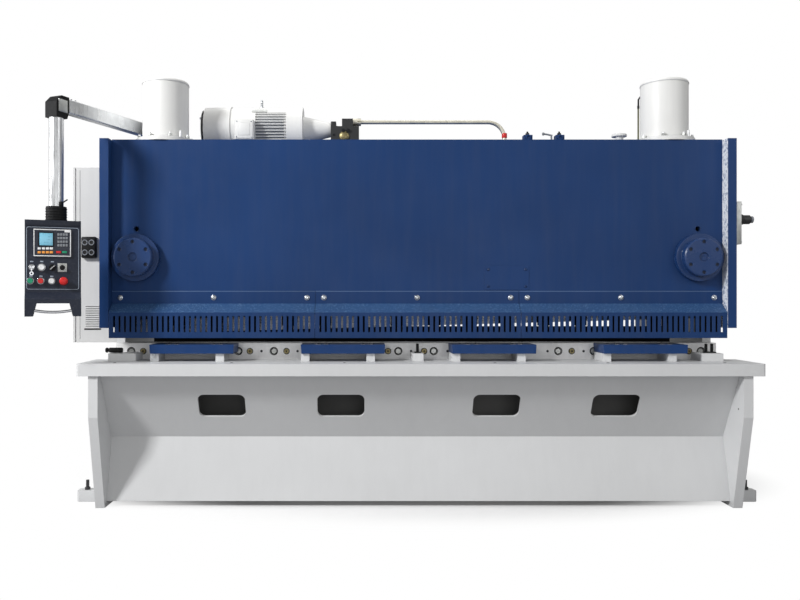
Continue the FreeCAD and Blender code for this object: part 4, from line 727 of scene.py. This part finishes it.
def add_cylinder_details():
    nuts, caps, plugs, bands, sleeve, hose = pieces(
        flange_nuts="zinc", flange_nut_caps="white_plastic", cylinder_plugs="white_plastic",
        cylinder_seams="white_paint", cylinder_line_sleeve="rubber_black", cylinder_hose="olive_rubber")
    for x in (-CYLINDER_X, CYLINDER_X):
        for k, at in enumerate(around((x, CYLINDER_Y, FLANGE_TOP_Z), 0.1475, 8, math.radians(22.5), v=BACK)):
            hex_bolt(nuts, at, UP, 0.0195, 0.013, turn=k * 0.6, stud=0.007)
            caps.lathe([(0.0, 0.0), (0.0072, 0.0), (0.0072, 0.006), (0.006, 0.009), (0.0, 0.0095)],
                       at + UP * 0.015, UP, 20)
        nuts.solid([(0.017, 0.0), (0.018, 0.002), (0.018, 0.012), (0.015, 0.0145)],
                   (x + 0.02, CYLINDER_Y + 0.02, CYLINDER_TOP_Z - 0.0145), UP, 6)
        for z in (FLANGE_TOP_Z + 0.004, 2.345):
            bands.lathe([(0.1292, 0.0), (0.1322, 0.0), (0.1328, 0.002), (0.1322, 0.0045), (0.1292, 0.0045)],
                        (x, CYLINDER_Y, z), UP, 72)
    for x, y in ((-1.318, -0.616), (1.512, -0.63)):
        plugs.lathe([(0.0, 0.0), (0.008, 0.0), (0.008, 0.022), (0.0062, 0.0245), (0.0062, 0.035),
                     (0.0, 0.036)], (x, y, FLANGE_TOP_Z), UP, 24)
    sleeve.tube([(1.33, -0.452, 2.296), (1.308, -0.45, 2.294), (1.299, -0.449, 2.28), (1.2985, -0.449, 2.24)],
                0.005, 14)
    sleeve.lathe([(0.0, 0.0), (0.0062, 0.0), (0.0066, 0.002), (0.0066, 0.016), (0.0, 0.018)],
                 (1.2985, -0.449, 2.228), UP, 24)
    hose.tube([(1.2985, -0.449, 2.235), (1.298, -0.45, 2.13), (1.2975, -0.451, 2.07), (1.297, -0.452, 2.028)],
              0.0052, 14)
    finish(nuts, caps, plugs, bands, sleeve, hose)


# Motor, pump and pipe
MOTOR_Y = -0.25
MOTOR_Z = 2.146
EYE_X = -0.9067
NAMEPLATE_DEG = 44


def on_motor(x):
    """The point of the motor's axis at x."""
    return Vector((x, MOTOR_Y, MOTOR_Z))


def motor_circle(x, radius, count, start=0.0):
    return around(on_motor(x), radius, count, start, u=BACK)


def add_motor_details():
    steel, core, dark, plate = pieces(
        motor_screws="screw_steel", motor_fin_core="grey_plastic",
        motor_joints="hole_black", motor_plate="zinc")
    steel.tube(around((EYE_X, MOTOR_Y, 2.3095), 0.015, 28, u=BACK), 0.0055, 12, closed=True)
    steel.lathe([(0.0, 0.0), (0.013, 0.0), (0.013, 0.006), (0.008, 0.009), (0.006, 0.02), (0.0, 0.021)],
                (EYE_X, MOTOR_Y, 2.2765), UP, 24)
    for k, at in enumerate(motor_circle(-0.669, 0.112, 4, math.radians(45))):
        hex_bolt(steel, at, RIGHT, 0.017, 0.009, turn=k)
    for k, at in enumerate(motor_circle(-1.2545, 0.122, 4, math.radians(45) + 0.4)):
        hex_bolt(steel, at, LEFT, 0.01, 0.004, turn=k)
    # A grey sleeve under the fins: painted shade in the gaps between them.
    core.disc(0.1196, 0.18, on_motor(-0.945), RIGHT, 72)
    # A dark ring at the fan cowl's edge: painted shadow in the gap between cowl and motor.
    dark.ring(0.129, 0.1318, 0.007, on_motor(-1.097), RIGHT, 72)
    dark.ring(0.08, 0.12, 0.004, on_motor(-0.669), RIGHT, 64)
    tilt = Matrix.Rotation(math.radians(NAMEPLATE_DEG), 3, "X")
    middle = on_motor(-0.911) + tilt @ (UP * 0.1325)
    half = Vector((0.045, 0.0145, 0.0012))
    plate.box(middle - half, middle + half, 0.0006, turn=tilt)
    finish(steel, core, dark, plate)


def add_terminal_box_details():
    low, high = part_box("motor_terminal_box")
    lid, screws, gland = pieces(
        terminal_box_lid="motor_white", terminal_box_screws="screw_steel", terminal_box_gland="black_plastic")
    lid.box((low.x + 0.004, low.y - 0.0045, low.z + 0.004),
            (high.x - 0.004, low.y + 0.001, high.z - 0.004), 0.003)
    lid.box((low.x + 0.022, low.y - 0.006, low.z + 0.022),
            (high.x - 0.022, low.y - 0.0035, high.z - 0.022), 0.002)
    for x in (low.x + 0.013, high.x - 0.013):
        for z in (low.z + 0.013, high.z - 0.013):
            dome_screw(screws, (x, low.y - 0.0045, z), FRONT, 0.0042, washer=False, turn=x + z)
    under = Vector(((low.x + high.x) / 2, low.y + 0.05, low.z))
    gland.disc(0.014, 0.008, under, DOWN, 6)
    gland.solid([(0.0115, 0.0), (0.0125, 0.002), (0.011, 0.014), (0.006, 0.018)], under + DOWN * 0.008,
                DOWN, 24)
    finish(lid, screws, gland)


def add_fan_grille():
    grille, back = pieces(fan_grille="motor_white", fan_grille_back="hole_black")
    for radius in (0.022, 0.04, 0.058, 0.076, 0.094, 0.112):
        grille.tube(motor_circle(-1.2555, radius, 48), 0.0022, 8, closed=True)
    inner, outer = (motor_circle(-1.2555, radius, 6, math.radians(30)) for radius in (0.02, 0.118))
    for ends in zip(inner, outer):
        grille.tube(ends, 0.0024, 8)
    back.disc(0.116, 0.001, on_motor(-1.2541), LEFT, 64)
    finish(grille, back)


# Valve block, whose front face is at VALVE_FACE_Y
VALVE_FACE_Y = -0.315
PIPE_END_X = 0.56


def add_valve_details():
    steel, holes, rims, dome, side, nut, ring = pieces(
        valve_screws="dark_screw", valve_ports="hole_black", valve_port_rims="dark_screw",
        valve_brass_cap="brass", valve_side_part="valve_black",
        pipe_nuts="brass", pipe_collar_red="red_plastic")
    for x in (-0.395, -0.352, -0.452):
        for y in (-0.285, -0.215):
            socket_screw(steel, (x, y, 2.157), UP, 0.0062, 0.0065, turn=x)
    for x, z in ((-0.47, 2.03), (-0.34, 2.03), (-0.47, 2.105)):
        socket_screw(steel, (x, VALVE_FACE_Y, z), FRONT, 0.0068, 0.005, turn=x)
    for x in (-0.413, -0.385):
        port = Vector((x, VALVE_FACE_Y, 2.13))
        holes.solid([(0.0062, 0.0), (0.006, 0.0012)], port + FRONT * 0.013, FRONT, 24)
        rims.solid([(0.01, 0.0), (0.0104, 0.013)], port, FRONT, 28)
    dome.lathe([(0.0, 0.0), (0.029, 0.0), (0.03, 0.002), (0.029, 0.006), (0.024, 0.01), (0.015, 0.0135),
                (0.0, 0.0145)], (-0.4078, VALVE_FACE_Y, 2.0965), FRONT, 40)
    side.box((-0.489, -0.296, 2.1565), (-0.457, -0.204, 2.19), 0.003)
    nut.solid([(0.0222, 0.0), (0.0232, 0.002), (0.0232, 0.02), (0.0222, 0.022)], (-0.33, MOTOR_Y, 2.194),
              RIGHT, 6)
    nut.solid([(0.0224, 0.0), (0.023, 0.002), (0.023, 0.018), (0.021, 0.02)], (PIPE_END_X, MOTOR_Y, 2.0418),
              UP, 6)
    ring.lathe([(0.0118, 0.0), (0.015, 0.0), (0.0158, 0.002), (0.0158, 0.026), (0.015, 0.028),
                (0.0118, 0.028)], (PIPE_END_X, MOTOR_Y, 2.0985), UP, 36)
    finish(steel, holes, rims, dome, side, nut, ring)


# Deck
DECK_Z = 2.008
DECK_BLOCKS_X = (0.622, 0.8)
FILLER_X = 1.237
FILLER_Y = -0.3


def add_deck_details():
    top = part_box("deck_blocks")[1].z
    heads, bolts, rings, lever, cap = pieces(
        deck_block_bolts="dark_screw", deck_screws="screw_steel", deck_block_rings="blue_paint",
        deck_lever="grey_plastic", filler_cap_rim="motor_white")
    for x in DECK_BLOCKS_X:
        hex_bolt(heads, (x, -0.6, top), UP, 0.019, 0.011, stud=0.009, turn=x)
        rings.solid([(0.015, 0.0), (0.016, 0.002), (0.016, 0.005), (0.014, 0.007), (0.009, 0.007),
                     (0.0085, 0.002)], (x, -0.6242, 2.025), FRONT, 36)
    for x in (-1.05, -0.6, -0.15, 0.2, 1.00):
        for y in (-0.632, 0.16):
            dome_screw(bolts, (x, y, DECK_Z - 0.0001), UP, 0.0072, washer=False, turn=x)
    lever.tube([(0.712, -0.6, 2.05), (0.735, -0.6, 2.0465), (0.762, -0.6, 2.04)], 0.005, 16)
    lever.tube([(0.756, -0.6, 2.0415), (0.757, -0.6, 2.025), (0.757, -0.6, DECK_Z)], 0.005, 16)
    lever.disc(0.013, 0.004, (0.757, -0.6, DECK_Z - 0.0001), UP, 24)
    lever.lathe([(0.0, 0.0), (0.0078, 0.0), (0.0088, 0.003), (0.0078, 0.01), (0.0, 0.012)],
                (0.716, -0.6, 2.0495), LEFT, 24)
    cap_foot = (FILLER_X, FILLER_Y, 2.0955)
    cap.lathe([(0.0418, 0.0), (0.0438, 0.001), (0.0438, 0.01), (0.0418, 0.0125)], cap_foot, UP, 48)
    for at in around(cap_foot, 0.0425, 18, v=BACK):
        cap.lathe([(0.0, 0.0), (0.0026, 0.0), (0.0026, 0.011), (0.0, 0.0115)], at, UP, 8)
    cap.disc(0.034, 0.005, (FILLER_X, FILLER_Y, DECK_Z), UP, 40)
    finish(heads, bolts, rings, lever, cap)


# Side valve
SIDE_VALVE_Z = 1.563


def add_side_valve_details():
    low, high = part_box("side_valve")
    y = (low.y + high.y) / 2
    plate_x = low.x + 0.0335
    cover, screws, body, tip = pieces(
        side_valve_plate="zinc", side_valve_screws="screw_steel", side_valve_body="valve_black",
        side_valve_tip="grey_plastic")
    cover.box((low.x + 0.001, low.y - 0.0015, low.z - 0.001),
              (plate_x, high.y + 0.0015, high.z + 0.001), 0.001)
    for z in (low.z + 0.014, high.z - 0.014):
        for side in (-0.024, 0.024):
            hex_bolt(screws, (plate_x, y + side, z), RIGHT, 0.012, 0.006, turn=z)
    for z in (SIDE_VALVE_Z + 0.043, SIDE_VALVE_Z - 0.043):
        screws.lathe([(0.0, 0.0), (0.0085, 0.0), (0.0085, 0.006), (0.007, 0.008), (0.0, 0.0085)],
                     (plate_x, y, z), RIGHT, 6)
    body.solid([(0.034, 0.0), (0.036, 0.003), (0.035, 0.01), (0.029, 0.014), (0.029, 0.022),
                (0.0255, 0.026)], (plate_x - 0.0005, y, SIDE_VALVE_Z), RIGHT, 40)
    tip.solid([(0.012, 0.0), (0.012, 0.0015), (0.0095, 0.003)], (high.x - 0.001, y, SIDE_VALVE_Z), RIGHT,
              32)
    tip.ring(0.0168, 0.0186, 0.012, (high.x - 0.013, y, SIDE_VALVE_Z), RIGHT, 36)
    finish(cover, screws, body, tip)


# Electrical cabinet
LOUVRE_Y = -0.401
DOOR_FACE_X = -1.995
LOUVRE_TOP_Z = 1.084
LOUVRE_STEP = 0.0128


def add_cabinet_details():
    seam, louvres, gaps, lock = pieces(
        cabinet_seams="hole_black", cabinet_louvres="cabinet_grey", cabinet_louvre_gaps="hole_black",
        cabinet_lock="screw_steel")
    seam.box((-1.956, -0.4006, 0.89), (-1.9545, -0.399, 1.878), 0.0)
    for k in range(10):
        z = LOUVRE_TOP_Z - k * LOUVRE_STEP
        gaps.box((-1.922, LOUVRE_Y - 0.0002, z - 0.0045), (-1.842, -0.399, z), 0.0)
        louvres.tube([(-1.923, LOUVRE_Y, z), (-1.841, LOUVRE_Y, z)], 0.0022, 10)
    gaps.box((-1.93, LOUVRE_Y, 0.944), (-1.832, -0.399, 0.953), 0.0)
    for z in (1.1, 1.66):
        lock.disc(0.0115, 0.0014, (DOOR_FACE_X, -0.36, z), LEFT)
        lock.box((DOOR_FACE_X - 0.0022, -0.3625, z - 0.006), (DOOR_FACE_X, -0.3575, z + 0.006), 0.0006)
    finish(seam, louvres, gaps, lock)


def add_socket_box():
    low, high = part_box("socket_box")
    case, rims, holes = pieces(
        socket_box_case="black_plastic", socket_rims="grey_plastic", socket_holes="hole_black")
    case.box(low, high, 0.009, 4)
    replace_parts(case.done(), "socket_box")
    for x in (low.x + 0.023, high.x - 0.025):
        for z in (low.z + 0.033, high.z - 0.034):
            rims.lathe([(0.0115, 0.0), (0.0165, 0.0), (0.017, 0.0008), (0.016, 0.0026), (0.013, 0.0026),
                        (0.0115, 0.0008)], (x, low.y, z), FRONT, 36)
            holes.disc(0.0118, 0.0007, (x, low.y, z), FRONT)
    finish(rims, holes)


# Arm, elbow and collar
DROP_AXIS = Vector((-1.86594, -1.0, 0.0))
ARM_TURN_DEG = 23.5


def add_arm_details():
    turn = Matrix.Rotation(math.radians(-ARM_TURN_DEG), 3, "Z")
    back = turn @ BACK
    side = turn @ RIGHT
    screws = Piece("arm_screws", "dark_screw", body="support_arm")
    for reach in (0.085, 0.115, 0.745, 0.775):
        for step in (-0.018, 0.018):
            socket_screw(screws, DROP_AXIS + UP * 2.1565 + back * reach + side * step, UP, 0.0045, 0.003)
    cover = Piece("elbow_cover", "zinc", body="support_arm")
    middle = DROP_AXIS + UP * 2.106 + side * 0.039 + back * 0.006
    half = Vector((0.0018, 0.03, 0.032))
    cover.box(middle - half, middle + half, 0.0016, turn=turn)
    ribs = Piece("collar_ribs", "black_plastic", body="pendant")
    for k in range(5):
        ribs.lathe([(0.049, 0.0), (0.0515, 0.0), (0.0525, 0.0012), (0.0525, 0.0052), (0.0515, 0.0064),
                    (0.049, 0.0064)], DROP_AXIS + UP * (1.524 + k * 0.0135), UP, 56)
    lever = Piece("collar_lever", "black_plastic", body="support_arm")
    lever.tube([(-1.835, -1.018, 1.612), (-1.82, -1.02, 1.616), (-1.802, -1.02, 1.628)], 0.0036, 12)
    lever.box((-1.842, -1.03, 1.5935), (-1.826, -1.008, 1.618), 0.003)
    finish(screws, cover, ribs, lever)


# Pendant, drawn facing the front and then turned about the drop tube's axis
TO_AXIS = Matrix.Translation(DROP_AXIS)
PENDANT_TURN = TO_AXIS @ Matrix.Rotation(math.radians(21), 4, "Z") @ TO_AXIS.inverted()
FACE_Y = -1.06
BOX_LEFT = -2.01294
BOX_RIGHT = -1.74894
BOX_TOP = 1.519
UPPER_ROW = 1.282
LOWER_ROW = 1.214
UPPER_INSETS = (0.032, 0.078, 0.129)
LOWER_INSETS = (0.026, 0.074, 0.125)
DIAL_INSET = 0.175
STOP_INSET = 0.181
DISPLAY_INSET = 0.041
DISPLAY_WIDTH = 0.175
DISPLAY_HEIGHT = 0.136
DISPLAY_DROP = 0.046
DISPLAY_FACE_Y = FACE_Y - 0.006
DISPLAY_EDGE = 0.0045
TRIM_CORNER_R = 0.01

# Where the photo shows parts of the panel, in pixels
TRIM_LOW_PX = (27.2, 289.2)
TRIM_HIGH_PX = (78.0, 228.4)
SCREEN_LOW_PX = (39.3, 245.2)
SCREEN_HIGH_PX = (52.8, 233.2)
KEYPAD_PX = (58.6, 234.6)
KEYPAD_STEP_PX = (2.7, 3.6)
SOFT_KEYS_PX = (39.3, 43.6, 47.6, 51.4)
PANEL_KEYS = (("white_plastic", 248.5, SOFT_KEYS_PX, 0.0075), ("orange_plastic", 252.3, SOFT_KEYS_PX, 0.0075),
              ("red_plastic", 252.2, (58.6,), 0.0115), ("green_plastic", 252.2, (64.6,), 0.0115))
SIGNS_PX = ((31.8, 261.5), (41.8, 261.5), (52.4, 261.8), (31.0, 276.0), (41.0, 276.2), (51.8, 276.4))


def on_face(px, py, y=FACE_Y):
    """The point at depth y, before the turn, that the picture shows at (px, py)."""
    back = PENDANT_TURN.inverted()
    eye = back @ CAMERA_AT
    ray = back @ seen(px, py, DROP_AXIS.y) - eye
    return eye + ray * ((y - eye.y) / ray.y)


def pendant_piece(name, key):
    return Piece(name, key, body="pendant", turn=PENDANT_TURN)


def add_relief(piece, middle, half_width, half_height, rise, round_edge, face_y=FACE_Y):
    """A flat block that stands proud of the face by rise."""
    piece.box((middle.x - half_width, face_y - rise, middle.z - half_height),
              (middle.x + half_width, face_y + 0.001, middle.z + half_height), round_edge)


def add_border(piece, low, high, outer, inner, rise, depth, round_edge):
    """Four bars around the rectangle from low to high, from inner to outer beyond it."""
    y0, y1 = DISPLAY_FACE_Y - rise, DISPLAY_FACE_Y + depth
    for x0, x1, z0, z1 in ((low.x - inner, high.x + inner, high.z + inner, high.z + outer),
                           (low.x - inner, high.x + inner, low.z - outer, low.z - inner),
                           (low.x - outer, low.x - inner, low.z - outer, high.z + outer),
                           (high.x + inner, high.x + outer, low.z - outer, high.z + outer)):
        piece.box((x0, y0, z0), (x1, y1, z1), round_edge)


def add_pendant_trim():
    rim = pendant_piece("pendant_trim", "panel_edge")
    r = TRIM_CORNER_R
    left, right = BOX_LEFT + 0.009 + r, BOX_RIGHT - 0.011 - r
    low, high = on_face(*TRIM_LOW_PX).z + r, on_face(*TRIM_HIGH_PX).z - r
    points = []
    for x, z, start in ((right, high, 0), (left, high, 90), (left, low, 180), (right, low, 270)):
        points += around((x, FACE_Y, z), r, 16, math.radians(start))[:5]
    rim.tube(points, 0.0015, 10, closed=True)
    band = pendant_piece("pendant_header", "panel_face")
    band.box((BOX_LEFT + 0.006, FACE_Y - 0.0022, 1.4895), (BOX_RIGHT - 0.006, FACE_Y + 0.001, 1.5155), 0.0018)
    finish(rim, band)


def add_display():
    low = Vector((BOX_LEFT + DISPLAY_INSET, 0.0, BOX_TOP - DISPLAY_DROP - DISPLAY_HEIGHT))
    high = Vector((low.x + DISPLAY_WIDTH, 0.0, BOX_TOP - DISPLAY_DROP))
    white = pendant_piece("display_frame", "white_plastic")
    for x0, x1, z0, z1 in ((low.x, high.x, high.z - DISPLAY_EDGE, high.z),
                           (low.x, high.x, low.z, low.z + DISPLAY_EDGE),
                           (low.x, low.x + DISPLAY_EDGE, low.z + DISPLAY_EDGE, high.z - DISPLAY_EDGE),
                           (high.x - DISPLAY_EDGE, high.x, low.z + DISPLAY_EDGE, high.z - DISPLAY_EDGE)):
        white.box((x0, DISPLAY_FACE_Y - 0.0016, z0), (x1, DISPLAY_FACE_Y + 0.002, z1), 0.0008)
    white.box((high.x - 0.03, DISPLAY_FACE_Y - 0.0018, high.z - 0.014),
              (high.x - 0.002, DISPLAY_FACE_Y + 0.001, high.z - 0.002), 0.0008)
    glass = pendant_piece("display_screen", "display_glass")
    a = on_face(*SCREEN_LOW_PX, DISPLAY_FACE_Y)
    b = on_face(*SCREEN_HIGH_PX, DISPLAY_FACE_Y)
    glass.box((a.x, DISPLAY_FACE_Y - 0.0012, a.z), (b.x, DISPLAY_FACE_Y + 0.001, b.z), 0.0005)
    bezel = pendant_piece("display_bezel", "black_plastic")
    add_border(bezel, a, b, 0.005, 0.0005, 0.0024, 0.001, 0.0006)
    keys = pendant_piece("keypad_keys", "grey_plastic")
    for row in range(4):
        for column in range(4):
            at = on_face(KEYPAD_PX[0] + column * KEYPAD_STEP_PX[0], KEYPAD_PX[1] + row * KEYPAD_STEP_PX[1],
                         DISPLAY_FACE_Y)
            add_relief(keys, at, 0.0052, 0.0062, 0.0022, 0.0012, DISPLAY_FACE_Y)
    finish(white, glass, bezel, keys)
    for key, row_px, places, half_width in PANEL_KEYS:
        piece = pendant_piece("panel_keys_" + key.split("_")[0], key)
        for px in places:
            at = on_face(px, row_px, DISPLAY_FACE_Y)
            add_relief(piece, at, half_width, 0.0055, 0.0026, 0.0016, DISPLAY_FACE_Y)
        piece.done()
    signs = pendant_piece("button_marks", "panel_edge")
    for px, py in SIGNS_PX:
        add_relief(signs, on_face(px, py), 0.0075, 0.003, 0.0006, 0.0004)
    signs.done()


def push_button(name, key, at, r=0.0165, rise=0.014):
    rim = pendant_piece(name + "_rim", "handle_chrome")
    rim.lathe([(r * 0.8, 0.0), (r * 1.08, 0.0), (r * 1.1, 0.0012), (r * 1.04, rise * 0.45),
               (r * 0.86, rise * 0.5), (r * 0.8, rise * 0.3)], at, FRONT, 40)
    made = rim.done()
    cap = pendant_piece(name + "_cap", key)
    cap.lathe([(0.0, 0.0), (r * 0.79, 0.0), (r * 0.79, rise * 0.8), (r * 0.7, rise),
               (r * 0.35, rise * 0.97), (0.0, rise * 0.95)], at, FRONT, 36)
    cap.done()
    return made


def add_switches(key_at, selector_at):
    """The key switch with its key, and the selector with its white line."""
    steel = pendant_piece("key_switch", "handle_chrome")
    steel.solid([(0.015, 0.0), (0.0154, 0.002), (0.0146, 0.0065), (0.011, 0.008)], key_at, FRONT, 36)
    steel.box(key_at + Vector((-0.003, -0.015, -0.0048)), key_at + Vector((0.003, -0.006, 0.0048)), 0.001)
    steel.box(key_at + Vector((-0.0032, -0.016, -0.024)), key_at + Vector((0.0032, -0.0142, -0.003)), 0.0007)
    steel.ring(0.0045, 0.0098, 0.002, key_at + Vector((0.0, -0.0141, -0.031)), FRONT, 28)
    turn = Matrix.Rotation(math.radians(-42), 3, "Y")
    dark = pendant_piece("selector_switch", "black_plastic")
    dark.solid([(0.0165, 0.0), (0.017, 0.002), (0.016, 0.006)], selector_at, FRONT, 40)
    dark.box(selector_at + Vector((-0.0165, -0.0155, -0.0048)),
             selector_at + Vector((0.0165, -0.005, 0.0048)), 0.002, turn=turn)
    line = pendant_piece("selector_line", "white_plastic")
    line.box(selector_at + Vector((-0.015, -0.0158, -0.0011)), selector_at + Vector((0.015, -0.015, 0.0011)),
             0.0002, turn=turn)
    finish(steel, dark, line)


def add_dial(at):
    plate = pendant_piece("dial_plate", "zinc")
    add_relief(plate, at, 0.022, 0.022, 0.003, 0.0015)
    knob = pendant_piece("dial_knob", "black_plastic")
    knob.solid([(0.013, 0.0), (0.0132, 0.0015), (0.01, 0.0025), (0.009, 0.012), (0.0078, 0.0135)],
               at + FRONT * 0.003, FRONT, 36)
    ticks = pendant_piece("dial_ticks", "black_plastic")
    half = Vector((0.0006, 0.0004, 0.002))
    for k, tick in enumerate(around(at + FRONT * 0.003, 0.0172, 12, math.radians(-60))[:11]):
        turn = Matrix.Rotation(math.pi / 2 - math.radians(-60 + k * 30), 3, "Y")
        ticks.box(tick - half, tick + half, 0.0, turn=turn)
    finish(plate, knob, ticks)


def add_emergency_stop(at):
    stop = pendant_piece("emergency_stop", "red_plastic")
    stop.lathe([(0.0, 0.0), (0.012, 0.0), (0.012, 0.01), (0.0172, 0.012), (0.0188, 0.0155),
                (0.0186, 0.0215), (0.0164, 0.0262), (0.0105, 0.0285), (0.0, 0.0292)], at, FRONT, 48)
    ring = pendant_piece("emergency_stop_ring", "red_plastic")
    ring.solid([(0.0202, 0.0), (0.0206, 0.0015), (0.0192, 0.0026)], at, FRONT, 48)
    finish(stop, ring)


def add_controls():
    upper = [Vector((BOX_LEFT + inset, FACE_Y, UPPER_ROW)) for inset in UPPER_INSETS + (DIAL_INSET,)]
    lower = [Vector((BOX_LEFT + inset, FACE_Y, LOWER_ROW)) for inset in LOWER_INSETS + (STOP_INSET,)]
    first = push_button("lamp_button_white_upper", "white_plastic", upper[1], r=0.018)
    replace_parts(first, "control_buttons")
    push_button("start_button_green", "green_plastic", lower[0])
    push_button("stop_button_red", "red_plastic", lower[1])
    push_button("lamp_button_white_lower", "white_plastic", lower[2])
    add_switches(upper[0], upper[2])
    add_dial(upper[3])
    add_emergency_stop(lower[3])


# Rear: tank fittings, hatch and tie beam screws
SIGHT_GAUGE_X = 0.9


def add_rear_details():
    low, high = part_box("oil_tank")
    rear = high.y
    steel, gauge, strip, lid, hatch, screws = pieces(
        tank_fittings="screw_steel", tank_sight_gauge="display_plastic", tank_gauge_glass="white_plastic",
        tank_hatch="blue_paint", tank_hatch_bolts="dark_screw", back_gauge_screws="screw_steel")
    steel.solid([(0.021, 0.0), (0.022, 0.003), (0.022, 0.012), (0.019, 0.015)], (1.2, rear, low.z + 0.045),
                BACK, 6)
    for z in (low.z + 0.16, high.z - 0.1):
        steel.solid([(0.014, 0.0), (0.015, 0.003), (0.015, 0.012)], (SIGHT_GAUGE_X, rear, z), BACK, 6)
    for k in range(9):
        for z in (low.z + 0.022, high.z - 0.022):
            hex_bolt(steel, (-1.36 + k * 0.34, rear, z), BACK, 0.013, 0.007, turn=k)
    gauge.box((SIGHT_GAUGE_X - 0.012, rear, low.z + 0.172),
              (SIGHT_GAUGE_X + 0.012, rear + 0.016, high.z - 0.112), 0.004)
    strip.box((SIGHT_GAUGE_X - 0.0045, rear + 0.015, low.z + 0.185),
              (SIGHT_GAUGE_X + 0.0045, rear + 0.0175, high.z - 0.125))
    lid.box((-0.62, rear - 0.001, low.z + 0.09), (-0.16, rear + 0.008, high.z - 0.08), 0.003)
    for x in (-0.6, -0.39, -0.18):
        for z in (low.z + 0.11, high.z - 0.1):
            hex_bolt(hatch, (x, rear + 0.008, z), BACK, 0.013, 0.007, turn=x)
    tie_low, tie_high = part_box("rear_tie_beam")
    for k in range(5):
        for z in (tie_high.z - 0.045, tie_low.z + 0.045):
            hex_bolt(screws, (-1.4 + k * 0.7, tie_high.y, z), BACK, 0.024, 0.012, turn=k)
    finish(steel, gauge, strip, lid, hatch, screws)


# Floor and light
FLOOR_Z = -0.001
FLOOR_HALF = 30
POOL_HALF = (2.05, 1.05)
LAMPS = (
    ("key", (-5.7, -4.9, 4.9), (0.0, -0.3, 1.1), (1.1, 1.1), 470.0),
    ("left", (-6.6, -1.6, 2.2), (0.0, -0.5, 1.5), (1.6, 3.6), 90.0),
    ("front", (0.6, -6.6, 1.5), (0.0, -0.5, 1.0), (5.0, 2.4), 44.0),
    ("fill", (5.0, -4.8, 3.4), (0.2, -0.3, 1.1), (3.0, 2.6), 40.0),
    ("deck", (2.4, -3.6, 4.6), (-0.9, -0.25, 2.1), (1.4, 1.4), 14.0),
    ("top", (0.0, 0.8, 5.6), (0.0, 0.0, 1.5), (6.0, 3.0), 90.0),
)


def add_floor():
    """A pale floor that keeps the object's shadow and turns white, for the camera, away from it."""
    floor = bpy.data.meshes.new("floor")
    side = FLOOR_HALF
    corners = [(x, y, FLOOR_Z) for x, y in ((-side, -side), (side, -side), (side, side), (-side, side))]
    floor.from_pydata(corners, [], [(0, 1, 2, 3)])
    obj = bpy.data.objects.new("floor", floor)
    bpy.context.scene.collection.objects.link(obj)
    m = Material("floor")
    camera_ray = (m.add("ShaderNodeLightPath"), "Is Camera Ray")
    pale = m.mix(m.patches(0.7, 4.0, 0.6, 0.3, 0.7), srgb(250, 250, 250), srgb(254, 254, 254))
    m.look(m.mix(camera_ray, srgb(140, 140, 142), pale), 0.8)
    pool = (1 / POOL_HALF[0], 1 / POOL_HALF[1], 1.0)
    stretch = m.add("ShaderNodeMapping", {"Vector": m.coord, "Scale": pool})
    length = m.add("ShaderNodeVectorMath", {0: (stretch, "Vector")}, operation="LENGTH")
    away = m.span((length, "Value"), 0.78, 1.15)
    away[0].interpolation_type = "SMOOTHSTEP"
    white = m.add("ShaderNodeEmission")
    m.show(m.add("ShaderNodeMixShader", {0: m.product(away, camera_ray), 1: (m.bsdf, 0), 2: (white, 0)}))
    floor.materials.append(m.mat)


def add_world():
    world = bpy.data.worlds.new("studio")
    bpy.context.scene.world = world
    world.use_nodes = True
    sky = Tree(world.node_tree)
    soft = sky.add("ShaderNodeBackground", {"Color": (1.0, 0.995, 0.98, 1.0), "Strength": 0.32})
    white = sky.add("ShaderNodeBackground", {"Color": (1.0, 1.0, 1.0, 1.0), "Strength": 1.0})
    camera_ray = (sky.add("ShaderNodeLightPath"), "Is Camera Ray")
    mixed = sky.add("ShaderNodeMixShader", {0: camera_ray, 1: (soft, 0), 2: (white, 0)})
    sky.add("ShaderNodeOutputWorld", {"Surface": (mixed, 0)})


def add_lamp(name, at, aim, size, power):
    data = bpy.data.lights.new(name, "AREA")
    data.shape = "RECTANGLE"
    data.size, data.size_y = size
    data.energy = power
    lamp = bpy.data.objects.new(name, data)
    lamp.location = at
    lamp.rotation_euler = (Vector(aim) - Vector(at)).to_track_quat("-Z", "Y").to_euler()
    bpy.context.scene.collection.objects.link(lamp)


add_guard_bolts()
add_boss_details()
add_access_panel_screws()
add_beam_bolts()
add_table_details()
add_leg_details()
add_cylinder_details()
add_motor_details()
add_terminal_box_details()
add_fan_grille()
add_valve_details()
add_deck_details()
add_side_valve_details()
add_cabinet_details()
add_socket_box()
add_arm_details()
add_pendant_trim()
add_display()
add_controls()
add_rear_details()

add_camera()
add_floor()
add_world()
for lamp in LAMPS:
    add_lamp(*lamp)
bpy.context.scene.view_settings.view_transform = "Standard"
